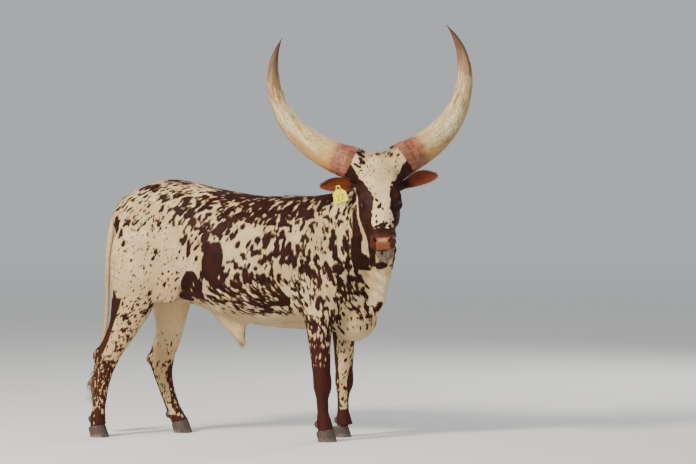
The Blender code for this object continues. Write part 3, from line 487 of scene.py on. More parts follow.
def eye_frame(flip):
    """An eye's centre, the way it looks, and its axes along the slit and towards the upper lid."""
    centre = on_side(EYE_AT, flip)
    gaze = unit(SIDE * (flip * math.cos(EYE_TURN)) + FRONT * math.sin(EYE_TURN))
    slit = ALONG * 0.97 + FRONT * 0.24
    slit = unit(slit - gaze * (slit @ gaze))
    upper = np.cross(gaze, slit)
    upper = upper if upper @ FRONT > 0 else -upper
    return centre, gaze, slit, upper


def shape_lids(points, flip):
    """Draws the skin round the eyeball into two lids with an almond opening, a crease, folds and a brow."""
    centre, gaze, slit, upper = eye_frame(flip)
    offset = points - centre
    a, b, high = offset @ slit, offset @ upper, offset @ gaze
    reach = np.hypot(a, b)
    near = (reach < 0.060) & (high > -0.025)
    half_high = np.where(b > 0, SLIT[1], SLIT[2])
    almond = ((abs(a) / SLIT[0]) ** 1.55 + (abs(b) / half_high) ** 1.55) ** (1 / 1.55) - 1
    ball = np.sqrt(np.maximum(EYE_RADIUS**2 - reach**2, 1e-8))
    outer = EYE_RADIUS + LID
    bend = 0.74 * outer
    shell = np.sqrt(np.maximum(outer**2 - np.minimum(reach, bend) ** 2, 1e-8))
    shell -= np.maximum(reach - bend, 0) * (bend / math.sqrt(outer**2 - bend**2))
    lid = 0.5 * (shell + high + np.sqrt((shell - high) ** 2 + 0.004**2))
    above, below = smooth(0.0, 0.004, b), smooth(0.0, -0.004, b)
    rim = 0.0012 * hump(almond, 0.25, 0.22) * (b > 0) + 0.0006 * hump(almond, 0.2, 0.2) * (b < 0)
    crease = 0.0016 * hump(almond, 0.85, 0.14) * above
    fold = 0.0016 * hump(almond, 1.45, 0.40) * above
    bags = 0.0010 * (hump(almond, 0.95, 0.12) + hump(almond, 1.75, 0.16)) * below
    brow = 0.0030 * hump(b, 0.030, 0.010) * hump(a, -0.002, 0.024)
    corner = 0.0024 * hump(a, SLIT[0] + 0.0065, 0.0050) * hump(b, -0.003, 0.0030)
    lid = lid + rim - crease + fold - bags + brow - corner
    share = smooth(0.058, 0.030, reach)
    target = high * (1 - share) + lid * share
    target = np.where(almond < 0, ball - 0.0045 * smooth(0.0, -0.12, almond), target)
    target = np.where(near, target, high)
    return points + gaze * (target - high)[:, None]


def shape_muzzle(points):
    """Cuts comma-shaped nostrils with a raised wing, the mouth's line and the groove under the nose."""
    along, side, front = head_place(points)
    moved = points.copy()
    for flip in (-1, 1):
        centre = on_side(NOSTRIL_AT, flip)
        outward = unit(ALONG * 0.45 + FRONT + SIDE * (0.45 * flip))
        run = -ALONG * math.cos(0.72) + SIDE * (flip * math.sin(0.72))
        run = unit(run - outward * (run @ outward))
        across = np.cross(outward, run)
        offset = points - centre
        a, b, high = offset @ run, offset @ across, offset @ outward
        near = (abs(high) < 0.035) & (np.hypot(a, b) < 0.04)
        bend = b - 14.0 * flip * a * abs(a)
        pit = np.sqrt((a / 0.0125) ** 2 + (bend / 0.0068) ** 2)
        tail = np.sqrt(((a - 0.013) / 0.011) ** 2 + (bend / 0.0030) ** 2)
        depth = 0.0125 * smooth(1.15, 0.45, pit) + 0.005 * smooth(1.2, 0.4, tail)
        rim = 0.0022 * hump(np.minimum(pit, tail + 0.2), 1.45, 0.32)
        moved += outward * ((rim - depth) * near)[:, None]
    outward = unit(SIDE * np.clip(side / 0.05, -1, 1)[:, None] + ALONG * 0.9)
    line = -0.094 - 0.010 * smooth(0.50, 0.42, along)
    groove = hump(front, line, 0.0028) * smooth(0.415, 0.440, along)
    lip = hump(front, line + 0.010, 0.006) * smooth(0.42, 0.46, along)
    moved += outward * (0.0016 * lip - 0.0050 * groove)[:, None]
    cleft = hump(side, 0.0, 0.0022) * smooth(0.512, 0.522, along) * smooth(-0.085, -0.075, front)
    moved -= ALONG * (0.0016 * cleft * (front < -0.045))[:, None]
    return moved


def shape_folds(points, normals):
    """Raises soft folds where skin creases: on the nose, cheek, throat and bent side of the neck."""
    along, side, front = head_place(points)
    head = in_head(points)
    spot = points - SHIFT
    x, y, z = spot.T
    high = np.zeros(len(points))
    nose = head & (along > 0.30) & (along < 0.47) & (front > -0.06)
    high += nose * 0.0012 * np.sin(along * 420 + 1.2 * np.sin(side * 90)) * smooth(0.38, 0.45, along)
    cheek = head * smooth(0.26, 0.33, along) * smooth(0.45, 0.38, along)
    high -= 0.0012 * cheek * hump(front, -0.128 + 0.10 * (along - 0.30), 0.016)
    neck = smooth(0.56, 0.66, x) * smooth(1.36, 1.24, z) * smooth(0.70, 0.86, z) * (~head)
    wave = x * 0.94 - y * 0.45 + 0.05 * np.sin(z * 7.0)
    high += neck * (y < 0.05) * 0.0028 * np.sin(wave * 165 + 1.6 * np.sin(z * 9.0))
    dewlap = smooth(0.70, 0.78, x) * smooth(0.66, 0.74, z) * smooth(1.16, 1.06, z)
    high += dewlap * 0.0022 * np.sin(z * 130 + x * 60 + 2.0 * np.sin(z * 11.0))
    return points + normals * high[:, None]


def ear_base(flip):
    """Where an ear leaves the head, and its axes: outward, across and the way its cup opens."""
    rise = EAR_RISE["left" if flip > 0 else "right"]
    root = on_side(EAR_ROOT, flip)
    out = unit(SIDE * (flip * math.cos(rise)) + HEAD_UP * math.sin(rise) - FACING * 0.06)
    opens = unit(FACING * 0.93 - HEAD_UP * 0.30)
    opens = unit(opens - out * (opens @ out))
    return root, out, np.cross(opens, out) * flip, opens


def ear_middle(flip, share, bowed):
    """A point of an ear's middle line at a share of its length, bowed as a share of half a turn says."""
    root, out, across, opens = ear_base(flip)
    arch = EAR_ARCH * math.sin(math.pi * bowed)
    return root + out * (EAR_LENGTH * share) + across * arch - opens * (0.3 * arch)


def ear_mesh(flip):
    """A closed ear with a curled cup and ribs inside."""
    _, _, across, opens = ear_base(flip)
    share_across = np.linspace(-1, 1, EAR_AROUND)
    rings = []
    for share, wide, depth, thick in through(EAR_ROWS, EAR_STEPS):
        centre = ear_middle(flip, share, max(0.0, share))
        half = EAR_WIDTH * wide / 2 - 0.0004
        curl = 0.004 * share_across**4
        ribs = 0.0011 * np.cos(share_across * 11.0) * smooth(0.15, 0.35, share) * smooth(0.95, 0.7, share)
        hollow = depth * (1 - share_across**2) - 0.0009 - ribs * (1 - share_across**4)
        back = (depth + thick - 0.0006) * (1 - share_across**2) + 0.0009
        for heights, order in ((back, 1), (hollow, -1)):
            line = centre + across * (half * share_across)[:, None] - opens * (heights - curl * 0.2)[:, None]
            rings.append(line[::order])
    rings = [np.vstack(pair) for pair in zip(rings[::2], rings[1::2])]
    return loft_mesh(f"ear_{flip}", rings)


def loft_mesh(name, rings):
    """A closed mesh over rings of points with the same count."""
    bm = bmesh.new()
    rows = [[bm.verts.new(point) for point in ring] for ring in rings]
    count = len(rows[0])
    for low, high in zip(rows, rows[1:]):
        for k in range(count):
            bm.faces.new((low[k], low[(k + 1) % count], high[(k + 1) % count], high[k]))
    bm.faces.new(rows[0][::-1])
    bm.faces.new(rows[-1])
    bmesh.ops.recalc_face_normals(bm, faces=bm.faces)
    mesh = bpy.data.meshes.new(name)
    bm.to_mesh(mesh)
    bm.free()
    return mesh


def with_ears(skin):
    """Fuses the two ears with the skin."""
    helpers = []
    for flip in (-1, 1):
        bm = bmesh.new()
        bm.from_mesh(ear_mesh(flip))
        bmesh.ops.triangulate(bm, faces=bm.faces)
        mesh = bpy.data.meshes.new("ear")
        bm.to_mesh(mesh)
        bm.free()
        helpers.append(add_object(f"ear_helper_{flip}", mesh))
        union = skin.modifiers.new("ear", "BOOLEAN")
        union.operation = "UNION"
        union.object = helpers[-1]
        union.solver = "MANIFOLD"
    baked(skin)
    for helper in helpers:
        bpy.data.objects.remove(helper)
    return skin


def make_skin():
    """The one skin: fused, smoothed, refined on the head, drawn in by the coat's depth and detailed."""
    skin = fused_flesh()
    keep_largest(skin.data)
    points = points_of(skin.data)
    head = in_head(points)
    points = relaxed(points, edges_of(skin.data), RELAX_ROUNDS, np.where(head, 0.35, 1.0))
    set_points(skin.data, points)
    refine(skin.data, in_head)
    refine(skin.data, in_detail)
    points = points_of(skin.data)
    weight = np.where(in_head(points), 1.0, 0.1)
    points = relaxed(points, edges_of(skin.data), RELAX_ROUNDS_FINE, weight)
    set_points(skin.data, points)
    points = points_of(skin.data) - normals_of(skin.data) * COAT_DEPTH
    for flip in (-1, 1):
        points = shape_lids(points, flip)
    points = shape_muzzle(points)
    set_points(skin.data, points)
    set_points(skin.data, shape_folds(points, normals_of(skin.data)))
    return with_ears(skin)


# The lie of the coat: a place in the side view, and the line's angle above the horizontal there
LIE = [
    (120, 200, 55), (160, 184, 32), (160, 215, 56), (200, 192, 34), (200, 225, 58), (140, 262, 66),
    (215, 262, 68), (250, 195, 52), (262, 240, 72), (300, 200, 66), (300, 240, 82), (322, 235, 92),
    (345, 240, 98), (340, 275, 116), (322, 300, 96), (355, 300, 130), (185, 295, 75), (225, 302, 150),
    (262, 308, 160), (300, 300, 120), (135, 315, 42), (120, 345, 60), (100, 380, 88), (365, 260, 96),
    (320, 360, 90), (345, 380, 90), (170, 350, 80), (180, 400, 105), (95, 420, 90),
]


def side_view(points):
    """Where points show in a side view from the right, in pixels. Both sides of the body fold onto it."""
    x, y, z = (points - SHIFT).T
    across = x * math.cos(VIEW_TURN) - abs(y) * math.sin(VIEW_TURN)
    return VIEW_ORIGIN[0] + across * PIXELS_PER_METRE, VIEW_ORIGIN[1] - z * PIXELS_PER_METRE


def lie_of(points, normals):
    """The direction in which the hair lies on the skin."""
    right, down = side_view(points)
    doubled = np.zeros((len(points), 2))
    for place_x, place_y, angle in LIE:
        weight = 1 / ((right - place_x) ** 2 + (down - place_y) ** 2 + 90) ** 1.5
        doubled[:, 0] += weight * math.cos(math.radians(angle))
        doubled[:, 1] += weight * math.sin(math.radians(angle))
    doubled = unit(doubled)
    flow = np.zeros_like(points)
    flow[:, 0] = -doubled[:, 0]
    flow[:, 2] = -doubled[:, 1]
    along, side, front = head_place(points)
    whorl = 0.165
    spread = ALONG * (along - whorl)[:, None] * 1.6 + SIDE * side[:, None] - FRONT * 0.035
    share = smooth(-0.09, -0.02, along) * smooth(-0.26, -0.20, front) * (abs(side) < 0.20) * (along < 0.62)
    flow = flow * (1 - share)[:, None] + unit(spread) * share[:, None]
    share = ear_share(points)
    out = np.where(side[:, None] > 0, ear_base(1)[1], ear_base(-1)[1])
    flow = flow * (1 - share)[:, None] + out * share[:, None]
    flow = flow - normals * (flow * normals).sum(1)[:, None]
    return unit(flow)


# Markings. Each patch: its place in the side view, half length and half width in pixels, and its angle
PATCHES = [
    (212, 262, 22, 11.5, 76), (207, 246, 7, 4.5, 60), (218, 247, 7, 4, 75), (193, 290, 12, 9.0, 95),
    (183, 295, 11, 5.0, 20), (190, 284, 16, 10.0, 66), (186, 299, 10, 5.0, 25), (199, 294, 9, 5.0, 95),
    (115, 226, 9.5, 4.3, 82), (119, 234, 5.5, 2.6, 80), (122, 244, 4.5, 2.3, 85), (110, 235, 6, 1.6, 100),
    (117, 210, 2.6, 1.5, 60), (143, 188, 8, 4, 25), (155, 187, 6.5, 4.5, 50), (125, 197, 4, 1.5, 45),
    (113, 300, 9, 3.0, 95), (110, 317, 14, 2.2, 82), (155, 252, 3, 2, 110), (153, 259, 2.8, 1.7, 60),
    (150, 307, 3.5, 2.5, 30), (127, 226, 2, 1.3, 80), (132, 223, 2.4, 1.1, 70), (155, 221, 2, 1.2, 60),
    (160, 229, 1.8, 1.3, 50), (166, 228, 2, 1.2, 60), (163, 218, 1.8, 1.2, 60), (191, 216, 4.2, 2.5, 120),
    (209, 214, 3.6, 2.3, 10), (210, 208, 3.6, 2.2, 40), (185, 239, 6, 2.6, 65), (188, 253, 5, 2.5, 70),
    (184, 258, 2.2, 1.2, 60), (176, 258, 2, 1.3, 60), (228, 232, 4.2, 2.4, 65), (237, 232, 5, 1.8, 70),
    (221, 235, 2.4, 1.6, 60), (236, 265, 4.2, 2.7, 75), (238, 273, 2.7, 2, 70), (230, 269, 2.3, 1.3, 60),
    (223, 268, 4, 2.6, 60), (268, 239, 10, 3.0, 75), (277, 248, 10.5, 2.9, 88), (282, 233, 5.5, 2.8, 78),
    (264, 259, 6.5, 2.3, 65), (271, 257, 6, 1.6, 85), (258, 239, 4, 3.2, 60), (257, 251, 4, 2.6, 50),
    (249, 243, 6, 1.6, 60), (289, 248, 8, 3.0, 80), (283, 258, 6, 2.3, 60), (284, 243, 4, 1.8, 80),
    (295, 261, 7, 2.3, 85), (298, 249, 8, 1.9, 88), (306, 238, 5.5, 3.4, 130), (305, 251, 5.5, 2.4, 95),
    (312, 226, 6, 2.1, 88), (310, 253, 5, 1.8, 85), (320, 277, 9.5, 3.7, 80), (333, 237, 11, 2.8, 90),
    (335, 251, 9, 3.0, 88), (345, 243, 8.5, 3.2, 104), (337, 267, 6, 4.8, 120), (328, 272, 5, 2.6, 125),
    (273, 269, 8, 3.2, 75), (263, 278, 7, 3.4, 80), (251, 275, 6, 3.0, 70), (293, 280, 7, 4.0, 85),
    (299, 279, 6, 3.0, 95), (289, 292, 8, 3.6, 80), (300, 212, 7, 5.5, 80), (309, 214, 8, 3.2, 75),
    (253, 218, 8, 3.0, 60), (262, 210, 7, 4.5, 50), (285, 212, 6, 3.0, 65), (270, 222, 5, 2.4, 60),
    (240, 216, 4, 3.0, 30), (230, 210, 4, 3.0, 30), (232, 220, 5, 2.6, 20), (345, 296, 9, 4.6, 135),
    (350, 306, 7.5, 4.2, 130), (356, 309, 6, 3.0, 120), (355, 291, 6, 3, 175), (363, 293, 5, 3.5, 150),
    (366, 305, 7, 3.2, 96), (369, 315, 5, 2.3, 170), (379, 305, 5, 3.5, 60), (358, 278, 5, 2.6, 110),
    (348, 233, 2.6, 1.8, 110), (343, 253, 2.6, 1.7, 90), (320, 301, 8, 5.0, 80), (326, 312, 9, 4.0, 110),
    (240, 293, 36, 7.5, 172), (272, 298, 20, 7.5, 160), (222, 292, 9, 5, 120), (254, 285, 9, 5, 70),
    (283, 288, 8, 6, 80), (251, 335, 5, 1.6, 115), (215, 300, 13, 5, 170), (234, 305, 17, 4.5, 170),
    (257, 307, 17, 5, 168), (218, 284, 11, 5, 125), (392, 262, 13, 2.0, 80),
]

# Scattered spots: centre and half sizes of a zone in the side view, how many, and their half length and width
DARK_ZONES = [
    (150, 212, 42, 26, 250, 1.7, 0.75), (172, 192, 34, 9, 90, 2.8, 1.2),
    (142, 262, 34, 32, 260, 0.8, 0.5), (138, 312, 30, 18, 120, 1.4, 0.7),
    (212, 212, 34, 19, 120, 3.1, 1.6), (195, 235, 22, 30, 60, 2.2, 1.1),
    (268, 216, 46, 9, 150, 2.8, 1.25), (272, 245, 34, 22, 60, 3.0, 1.2), (250, 285, 52, 14, 84, 4.4, 2.1),
    (236, 303, 42, 6, 70, 4.0, 1.1), (318, 232, 16, 34, 84, 2.4, 1.0), (322, 285, 18, 24, 72, 3.2, 1.1),
    (346, 238, 12, 34, 40, 3.4, 1.4), (345, 276, 16, 18, 40, 3.0, 1.5), (358, 316, 18, 14, 40, 1.7, 1.0),
    (325, 322, 16, 18, 72, 3.2, 1.2), (300, 262, 10, 20, 30, 2.8, 1.0),
    (118, 335, 16, 22, 110, 1.3, 0.65), (336, 207, 18, 17, 80, 2.0, 0.9),
    (352, 286, 14, 16, 50, 3.2, 1.4), (240, 262, 16, 14, 12, 1.8, 1.1), (175, 285, 14, 14, 30, 1.3, 0.8),
    (225, 230, 14, 10, 26, 2.4, 1.2), (310, 272, 15, 14, 44, 3.0, 0.8), (264, 311, 38, 4, 80, 3.4, 0.7),
    (300, 296, 14, 10, 30, 2.6, 0.8), (255, 262, 26, 10, 22, 2.2, 0.7), (158, 300, 20, 8, 40, 1.6, 0.7),
]

# More dark spots for the left side's neck only
FAR_NECK_ZONES = [(368, 222, 10, 26, 34, 3.2, 1.5), (372, 268, 10, 26, 26, 2.6, 1.3)]

# Cream flecks over the dark, in the same terms
CREAM_ZONES = [
    (258, 200, 75, 9, 60, 1.5, 0.5), (305, 206, 34, 7, 34, 3.2, 0.6), (190, 188, 28, 5, 80, 2.2, 0.7),
    (248, 292, 50, 13, 90, 2.2, 0.55), (230, 308, 38, 5, 90, 3.0, 0.5), (285, 275, 18, 12, 26, 3.2, 0.9),
    (322, 322, 14, 20, 60, 1.8, 0.45), (350, 300, 14, 10, 22, 2.6, 0.9), (352, 240, 6, 30, 14, 7.0, 0.8),
    (320, 236, 12, 28, 26, 3.6, 0.8), (322, 286, 15, 16, 34, 3.4, 0.9),
]


def on_tail(points):
    """Whether points lie on the tail above its brush."""
    x, y, z = (points - SHIFT).T
    half = read_off(z, ((0.95, 0.040), (1.05, 0.021)))
    return (x < TAIL_FRONT) & (abs(y) < half) & (z < TAIL_ENDS[1]) & (z > TAIL_ENDS[0])


def body_side(points):
    """Which side of the animal points lie on: -1 for its right, which the view shows, and 1 for its left."""
    return np.where((points - SHIFT)[:, 1] < 0, -1, 1)


class Spots:
    """Ellipsoids on the skin, each with a place, a long direction and two half sizes in metres."""

    def __init__(self):
        self.places, self.runs, self.sizes = [], [], []

    def add(self, place, run, long, wide):
        self.places.append(place)
        self.runs.append(run)
        self.sizes.append((long, wide))

    def depth(self, points):
        """How far inside the nearest spot each point lies, and at most 20 mm outside."""
        order = np.argsort(points[:, 0])
        ranked = points[order]
        columns = ranked[:, 0]
        best = np.full(len(points), OUTSIDE)
        for place, run, (long, wide) in zip(self.places, self.runs, self.sizes):
            reach = max(long, wide) + 0.012
            low, high = np.searchsorted(columns, (place[0] - reach, place[0] + reach))
            offset = ranked[low:high] - place
            lengthwise = offset @ run
            sideways = np.sqrt(np.maximum((offset**2).sum(1) - lengthwise**2, 0))
            ratio = np.sqrt((lengthwise / long) ** 2 + (sideways / wide) ** 2)
            best[low:high] = np.maximum(best[low:high], (1 - ratio) * wide)
        depth = np.empty(len(points))
        depth[order] = best
        return depth


def scatter(spots, zones, points, normals, lie, dice, chosen_sides=(-1, 1)):
    """Spots set at random on the skin in each zone, on the given sides of the animal."""
    right, down = side_view(points)
    sides = body_side(points)
    outward = normals[:, 1] * sides > -0.15
    body = ~is_head(points)
    for zone_x, zone_y, reach_x, reach_y, count, long, wide in zones:
        far = ((right - zone_x) / reach_x) ** 2 + ((down - zone_y) / reach_y) ** 2
        for side in chosen_sides:
            pool = np.flatnonzero((far < 1.7) & (sides == side) & outward & body)
            if not len(pool):
                continue
            chance = np.exp(-far[pool] ** 2)
            picked = dice.choice(pool, count, p=chance / chance.sum())
            grow = np.exp(dice.normal(0, 0.34, count)) / PIXELS_PER_METRE
            slim = np.exp(dice.normal(0, 0.22, count))
            turn = dice.normal(0, 0.16, count)
            for k, size, thin, swing in zip(picked, grow, slim, turn):
                run = unit(lie[k] + np.cross(normals[k], lie[k]) * swing)
                spots.add(points[k], run, long * size, wide * size * thin)


def stamp(spots, patches, points, normals, dice):
    """The named patches, set on the skin of the right side and, shifted a little, on the left."""
    right, down = side_view(points)
    sides = body_side(points)
    outward = normals[:, 1] * sides > -0.1
    body = ~is_head(points)
    for side in (-1, 1):
        pool = np.flatnonzero((sides == side) & outward & body)
        for place_x, place_y, long, wide, angle in patches:
            if side == 1:
                place_x += dice.normal(0, 9)
                place_y += dice.normal(0, 6)
                angle += dice.normal(0, 12)
            gap = (right[pool] - place_x) ** 2 + (down[pool] - place_y) ** 2
            k = pool[gap.argmin()]
            run = np.array((-math.cos(math.radians(angle)), 0, -math.sin(math.radians(angle))))
            run = unit(run - normals[k] * (run @ normals[k]))
            spots.add(points[k], run, long / PIXELS_PER_METRE, wide / PIXELS_PER_METRE)


# The face's pale blaze: level on the face below the poll, then its half width to the left and right
BLAZE = [
    (-0.05, 0.110, 0.112), (0.00, 0.135, 0.127), (0.030, 0.150, 0.140), (0.055, 0.142, 0.143),
    (0.080, 0.124, 0.135), (0.109, 0.115, 0.116), (0.130, 0.101, 0.113), (0.150, 0.094, 0.097),
    (0.172, 0.071, 0.081), (0.205, 0.060, 0.060), (0.230, 0.047, 0.052), (0.260, 0.049, 0.038),
    (0.300, 0.051, 0.043), (0.333, 0.043, 0.041), (0.350, 0.060, 0.045), (0.387, 0.061, 0.052),
    (0.425, 0.061, 0.052), (0.445, 0.058, 0.040),
]

# Dark spots on the blaze: along, side, half length, half width, turn towards the animal's left
FACE_SPOTS = [
    (-0.028, -0.084, 0.026, 0.013, -40), (0.010, -0.082, 0.016, 0.008, -40),
    (0.045, -0.084, 0.021, 0.011, -45), (0.072, -0.104, 0.016, 0.008, -60),
    (0.095, -0.093, 0.010, 0.005, -55), (0.010, -0.041, 0.012, 0.003, -55),
    (0.035, -0.059, 0.008, 0.003, -50), (0.100, -0.026, 0.006, 0.003, -30),
    (0.129, -0.042, 0.006, 0.003, -20), (0.124, -0.068, 0.005, 0.003, -20),
    (0.169, -0.066, 0.006, 0.003, -20), (0.191, -0.040, 0.007, 0.003, -10),
    (0.208, -0.051, 0.007, 0.004, -10), (-0.042, 0.085, 0.030, 0.011, 50),
    (0.000, 0.058, 0.014, 0.006, 40), (0.013, 0.068, 0.015, 0.009, 30), (0.013, 0.105, 0.012, 0.007, 50),
    (0.082, 0.089, 0.009, 0.005, 50), (0.003, 0.000, 0.006, 0.016, 0), (-0.006, 0.030, 0.008, 0.012, 0),
    (0.055, 0.018, 0.004, 0.003, 0), (0.179, 0.066, 0.011, 0.007, 30), (0.204, 0.058, 0.010, 0.006, 20),
    (0.243, -0.024, 0.005, 0.004, 0), (0.280, -0.020, 0.014, 0.007, -30),
    (0.302, 0.000, 0.009, 0.005, 10), (0.317, -0.008, 0.017, 0.011, 30),
    (0.333, 0.009, 0.011, 0.005, -30), (0.333, 0.050, 0.009, 0.006, 0), (0.375, -0.027, 0.010, 0.005, 20),
    (0.410, -0.027, 0.012, 0.007, 0), (0.420, 0.025, 0.010, 0.006, -40), (0.412, 0.010, 0.008, 0.005, 20),
    (0.434, 0.003, 0.022, 0.017, 80), (0.419, 0.056, 0.010, 0.006, 0), (0.400, 0.045, 0.005, 0.003, 0),
    (0.365, 0.046, 0.006, 0.003, 10), (0.385, 0.018, 0.004, 0.003, 0), (0.350, 0.030, 0.005, 0.002, 20),
    (0.372, -0.005, 0.005, 0.002, 0), (0.440, -0.030, 0.014, 0.010, 60), (0.440, 0.040, 0.012, 0.008, 60),
    (0.066, -0.060, 0.005, 0.003, -40), (0.080, -0.040, 0.005, 0.002, -40),
    (0.020, -0.100, 0.008, 0.004, -50), (0.115, -0.085, 0.005, 0.003, -30),
    (-0.006, -0.096, 0.022, 0.012, -35), (0.026, -0.092, 0.014, 0.009, -45),
    (0.058, -0.120, 0.014, 0.008, -60), (0.012, -0.072, 0.010, 0.005, -30),
    (0.040, -0.074, 0.009, 0.005, -40), (0.052, -0.098, 0.010, 0.005, -50),
    (0.078, -0.058, 0.006, 0.004, 0), (0.070, -0.042, 0.005, 0.003, 0), (0.096, -0.050, 0.006, 0.003, 0),
]


# The lower edge of the dark band along the back, in the side view
BACK_EDGE = [
    (150, 170), (160, 178), (172, 183), (185, 186), (205, 192), (225, 201), (250, 208), (270, 212),
    (290, 215), (308, 217), (322, 209), (335, 201), (348, 193), (360, 186),
]

# The legs' dark grounds: their edges ahead of the origin, and the heights at which they start or close
LEGS_FROM = 0.30
FORELEG_COLUMN, FORELEG_ASIDE = (0.375, 0.62), 0.085
NEAR_FORELEG_EDGES = (0.385, 0.585)
NEAR_FORELEG_HEIGHTS = (0.675, 0.52)
NEAR_HIND_LEG_HEIGHTS = (0.75, 0.412)
FAR_HIND_LEG_HEIGHTS = (0.47, 0.37, 0.10)

# The cream stripe down the far foreleg: a height, and the stripe's edges there
FAR_FORELEG_STRIPE = [(0.15, 0.519, 0.549), (0.31, 0.514, 0.560), (0.40, 0.506, 0.577), (0.47, 0.500, 0.600)]


def ground_depth(points, normals):
    """How far inside the large dark grounds each point lies: the back's band and the legs."""
    right, down = side_view(points)
    x, y, z = (points - SHIFT).T
    depth = (read_off(right, BACK_EDGE) - down) / PIXELS_PER_METRE + 0.010 * lattice_noise(points, 38)
    wander = 0.012 * lattice_noise(points, 30, 9.0)
    back, ahead = FORELEG_COLUMN
    column = (x > back) & (x < ahead) & (abs(y) > FORELEG_ASIDE) & (z < FORELEG_TOP)
    near_front, far_front = column & (y < 0) & (x < 0.60), column & (y >= 0)
    near_hind, far_hind = (x < -LEGS_FROM) & (y < 0), (x < -LEGS_FROM) & (y >= 0)
    # The near foreleg is dark between its edges, and all round lower down
    back, ahead = NEAR_FORELEG_EDGES
    start, full = NEAR_FORELEG_HEIGHTS
    above = np.minimum(start - z, np.minimum(x - back, ahead - x)) + wander
    depth = np.where(near_front, np.maximum(depth, np.maximum(above, full - z)), depth)
    # The far foreleg is dark but for the stripe on the side that the view shows
    heights, backs, aheads = zip(*FAR_FORELEG_STRIPE)
    low, high = np.interp(z, heights, backs), np.interp(z, heights, aheads)
    stripe = np.minimum(np.minimum(x - low, high - x), np.minimum(z - 0.152, -normals[:, 1] * 0.03))
    depth = np.where(far_front & (z < 0.58), -stripe + 0.4 * wander, depth)
    # The near hind leg is dark behind, and all round lower down
    start, full = NEAR_HIND_LEG_HEIGHTS
    behind = -0.029 - (x + 0.655 + 0.36 * (0.50 - z).clip(-0.3, 0.2))
    depth = np.where(near_hind & (z < 0.80), np.maximum(depth, np.minimum(behind, start - z)), depth)
    depth = np.where(near_hind, np.maximum(depth, full - z + wander), depth)
    # The far hind leg is dark behind and lower down ahead, and all round at the foot
    start, lower, full = FAR_HIND_LEG_HEIGHTS
    rear = np.minimum(-normals[:, 0] - 0.50, 33 * (start - z))
    ahead = np.minimum(normals[:, 0] - 0.55 + 1.6 * np.clip(0.36 - z, 0, 0.5), 20 * (lower - z))
    striped = 0.03 * np.maximum(rear, ahead) + 0.5 * wander
    depth = np.where(far_hind & (z < 0.50), np.maximum(depth, striped), depth)
    depth = np.where(far_hind, np.maximum(depth, full - z), depth)
    return np.clip(depth, *DEPTH_LIMITS)


def face_depth(points):
    """How far inside the head's dark colour each point lies."""
    along, side, front = head_place(points)
    level = along - LEVEL * front
    levels, lefts, rights = zip(*BLAZE)
    left, right = np.interp(level, levels, lefts), np.interp(level, levels, rights)
    beside = np.where(side > 0, side - left, -side - right)
    depth = np.maximum(beside, level - 0.450)
    flame = lattice_noise(points @ np.stack((ALONG * 0.45, SIDE, FRONT), 1), 110) * 0.0070
    flame += lattice_noise(points, 45, 5.0) * 0.0035
    depth = depth + flame
    for place, across, long, wide, turn in FACE_SPOTS:
        turned = math.radians(turn)
        lengthwise = (level - place) * math.cos(turned) - (side - across) * math.sin(turned)
        sideways = (level - place) * math.sin(turned) + (side - across) * math.cos(turned)
        ratio = np.hypot(lengthwise / long, sideways / wide)
        depth = np.maximum(depth, (1 - ratio) * wide)
    return np.clip(np.where(front < -0.175, INSIDE, depth), *DEPTH_LIMITS)


# Behind the jaw: level on the face, and how far past the jaw the pale strip and the dark band reach there
THROAT = [
    (0.20, 0.006, 0.005), (0.31, 0.0066, 0.022), (0.426, 0.012, 0.046), (0.487, 0.017, 0.066),
    (0.528, 0.017, 0.086), (0.570, 0.032, 0.090), (0.606, 0.030, 0.096), (0.636, 0.0, 0.100),
    (0.700, -0.015, 0.088), (0.730, 0.0, 0.0),
]


def throat(points, normals):
    """The pale strip and dark band behind the jaw, and the chin painted grey as shade under the muzzle:
    depth, and the chin's share.
    """
    along, side, front = head_place(points)
    level = along - LEVEL * front
    facing = (normals @ FACING > -0.15) & (front < -0.085) & (front > -0.46)
    ragged = 0.0045 * lattice_noise(points, 75)
    depth = np.full(len(points), -1.0)
    past = past_jaw(points) + 0.4 * ragged
    levels, strips, bands = zip(*THROAT)
    wide, reach = np.interp(level, levels, strips), np.interp(level, levels, bands)
    beside = facing & (side < 0) & (level > 0.20) & (level < 0.735)
    strip = beside & (past > 0) & (past < wide)
    # The dark band that the strip parts from the jaw
    band = np.minimum(past - wide, reach - past) + 1.6 * ragged
    # The chin, painted grey as shade under the muzzle over its pale colour, with a dark spot of its own and a
    # dark patch below it
    under = facing & (level > 0.575) & (level < 0.80)
    left = read_off(level, ((0.58, 0.063), (0.64, 0.055), (0.68, 0.026))) + ragged
    right = read_off(level, ((0.58, 0.046), (0.64, 0.037), (0.68, 0.016))) + ragged
    inside = np.minimum(np.minimum(left - side, side + right), 0.684 - level)
    chin = under * smooth(-0.002, 0.004, inside)
    spot = np.hypot((level - 0.606) / 0.016, (side + 0.008) / 0.009)
    black = 1 - np.hypot((level - 0.692) / 0.026, (side + 0.012) / 0.036)
    edge = np.minimum(side - read_off(level, ((0.58, 0.063), (0.68, 0.046), (0.76, 0.040))), 0.74 - level)
    dark = np.maximum(np.maximum(0.02 * black, edge), 0.010 * (1 - spot))
    # The jaw's brown edge below the face
    jaw = facing & (level > 0.45) & (level < 0.71)
    brown = np.minimum(np.minimum(-0.040 - side, -past), 0.700 - level)
    dark = np.maximum(np.where(under, dark, -1.0), np.where(jaw, brown, -1.0))
    marked = (under & (chin > 0.5)) | (dark > -0.004)
    depth = np.where(beside & (band > 0), band, depth)
    depth = np.where(marked, np.clip(dark + ragged, OUTSIDE, INSIDE), depth)
    return np.where(strip, OUTSIDE, depth), chin * (dark + ragged < 0)


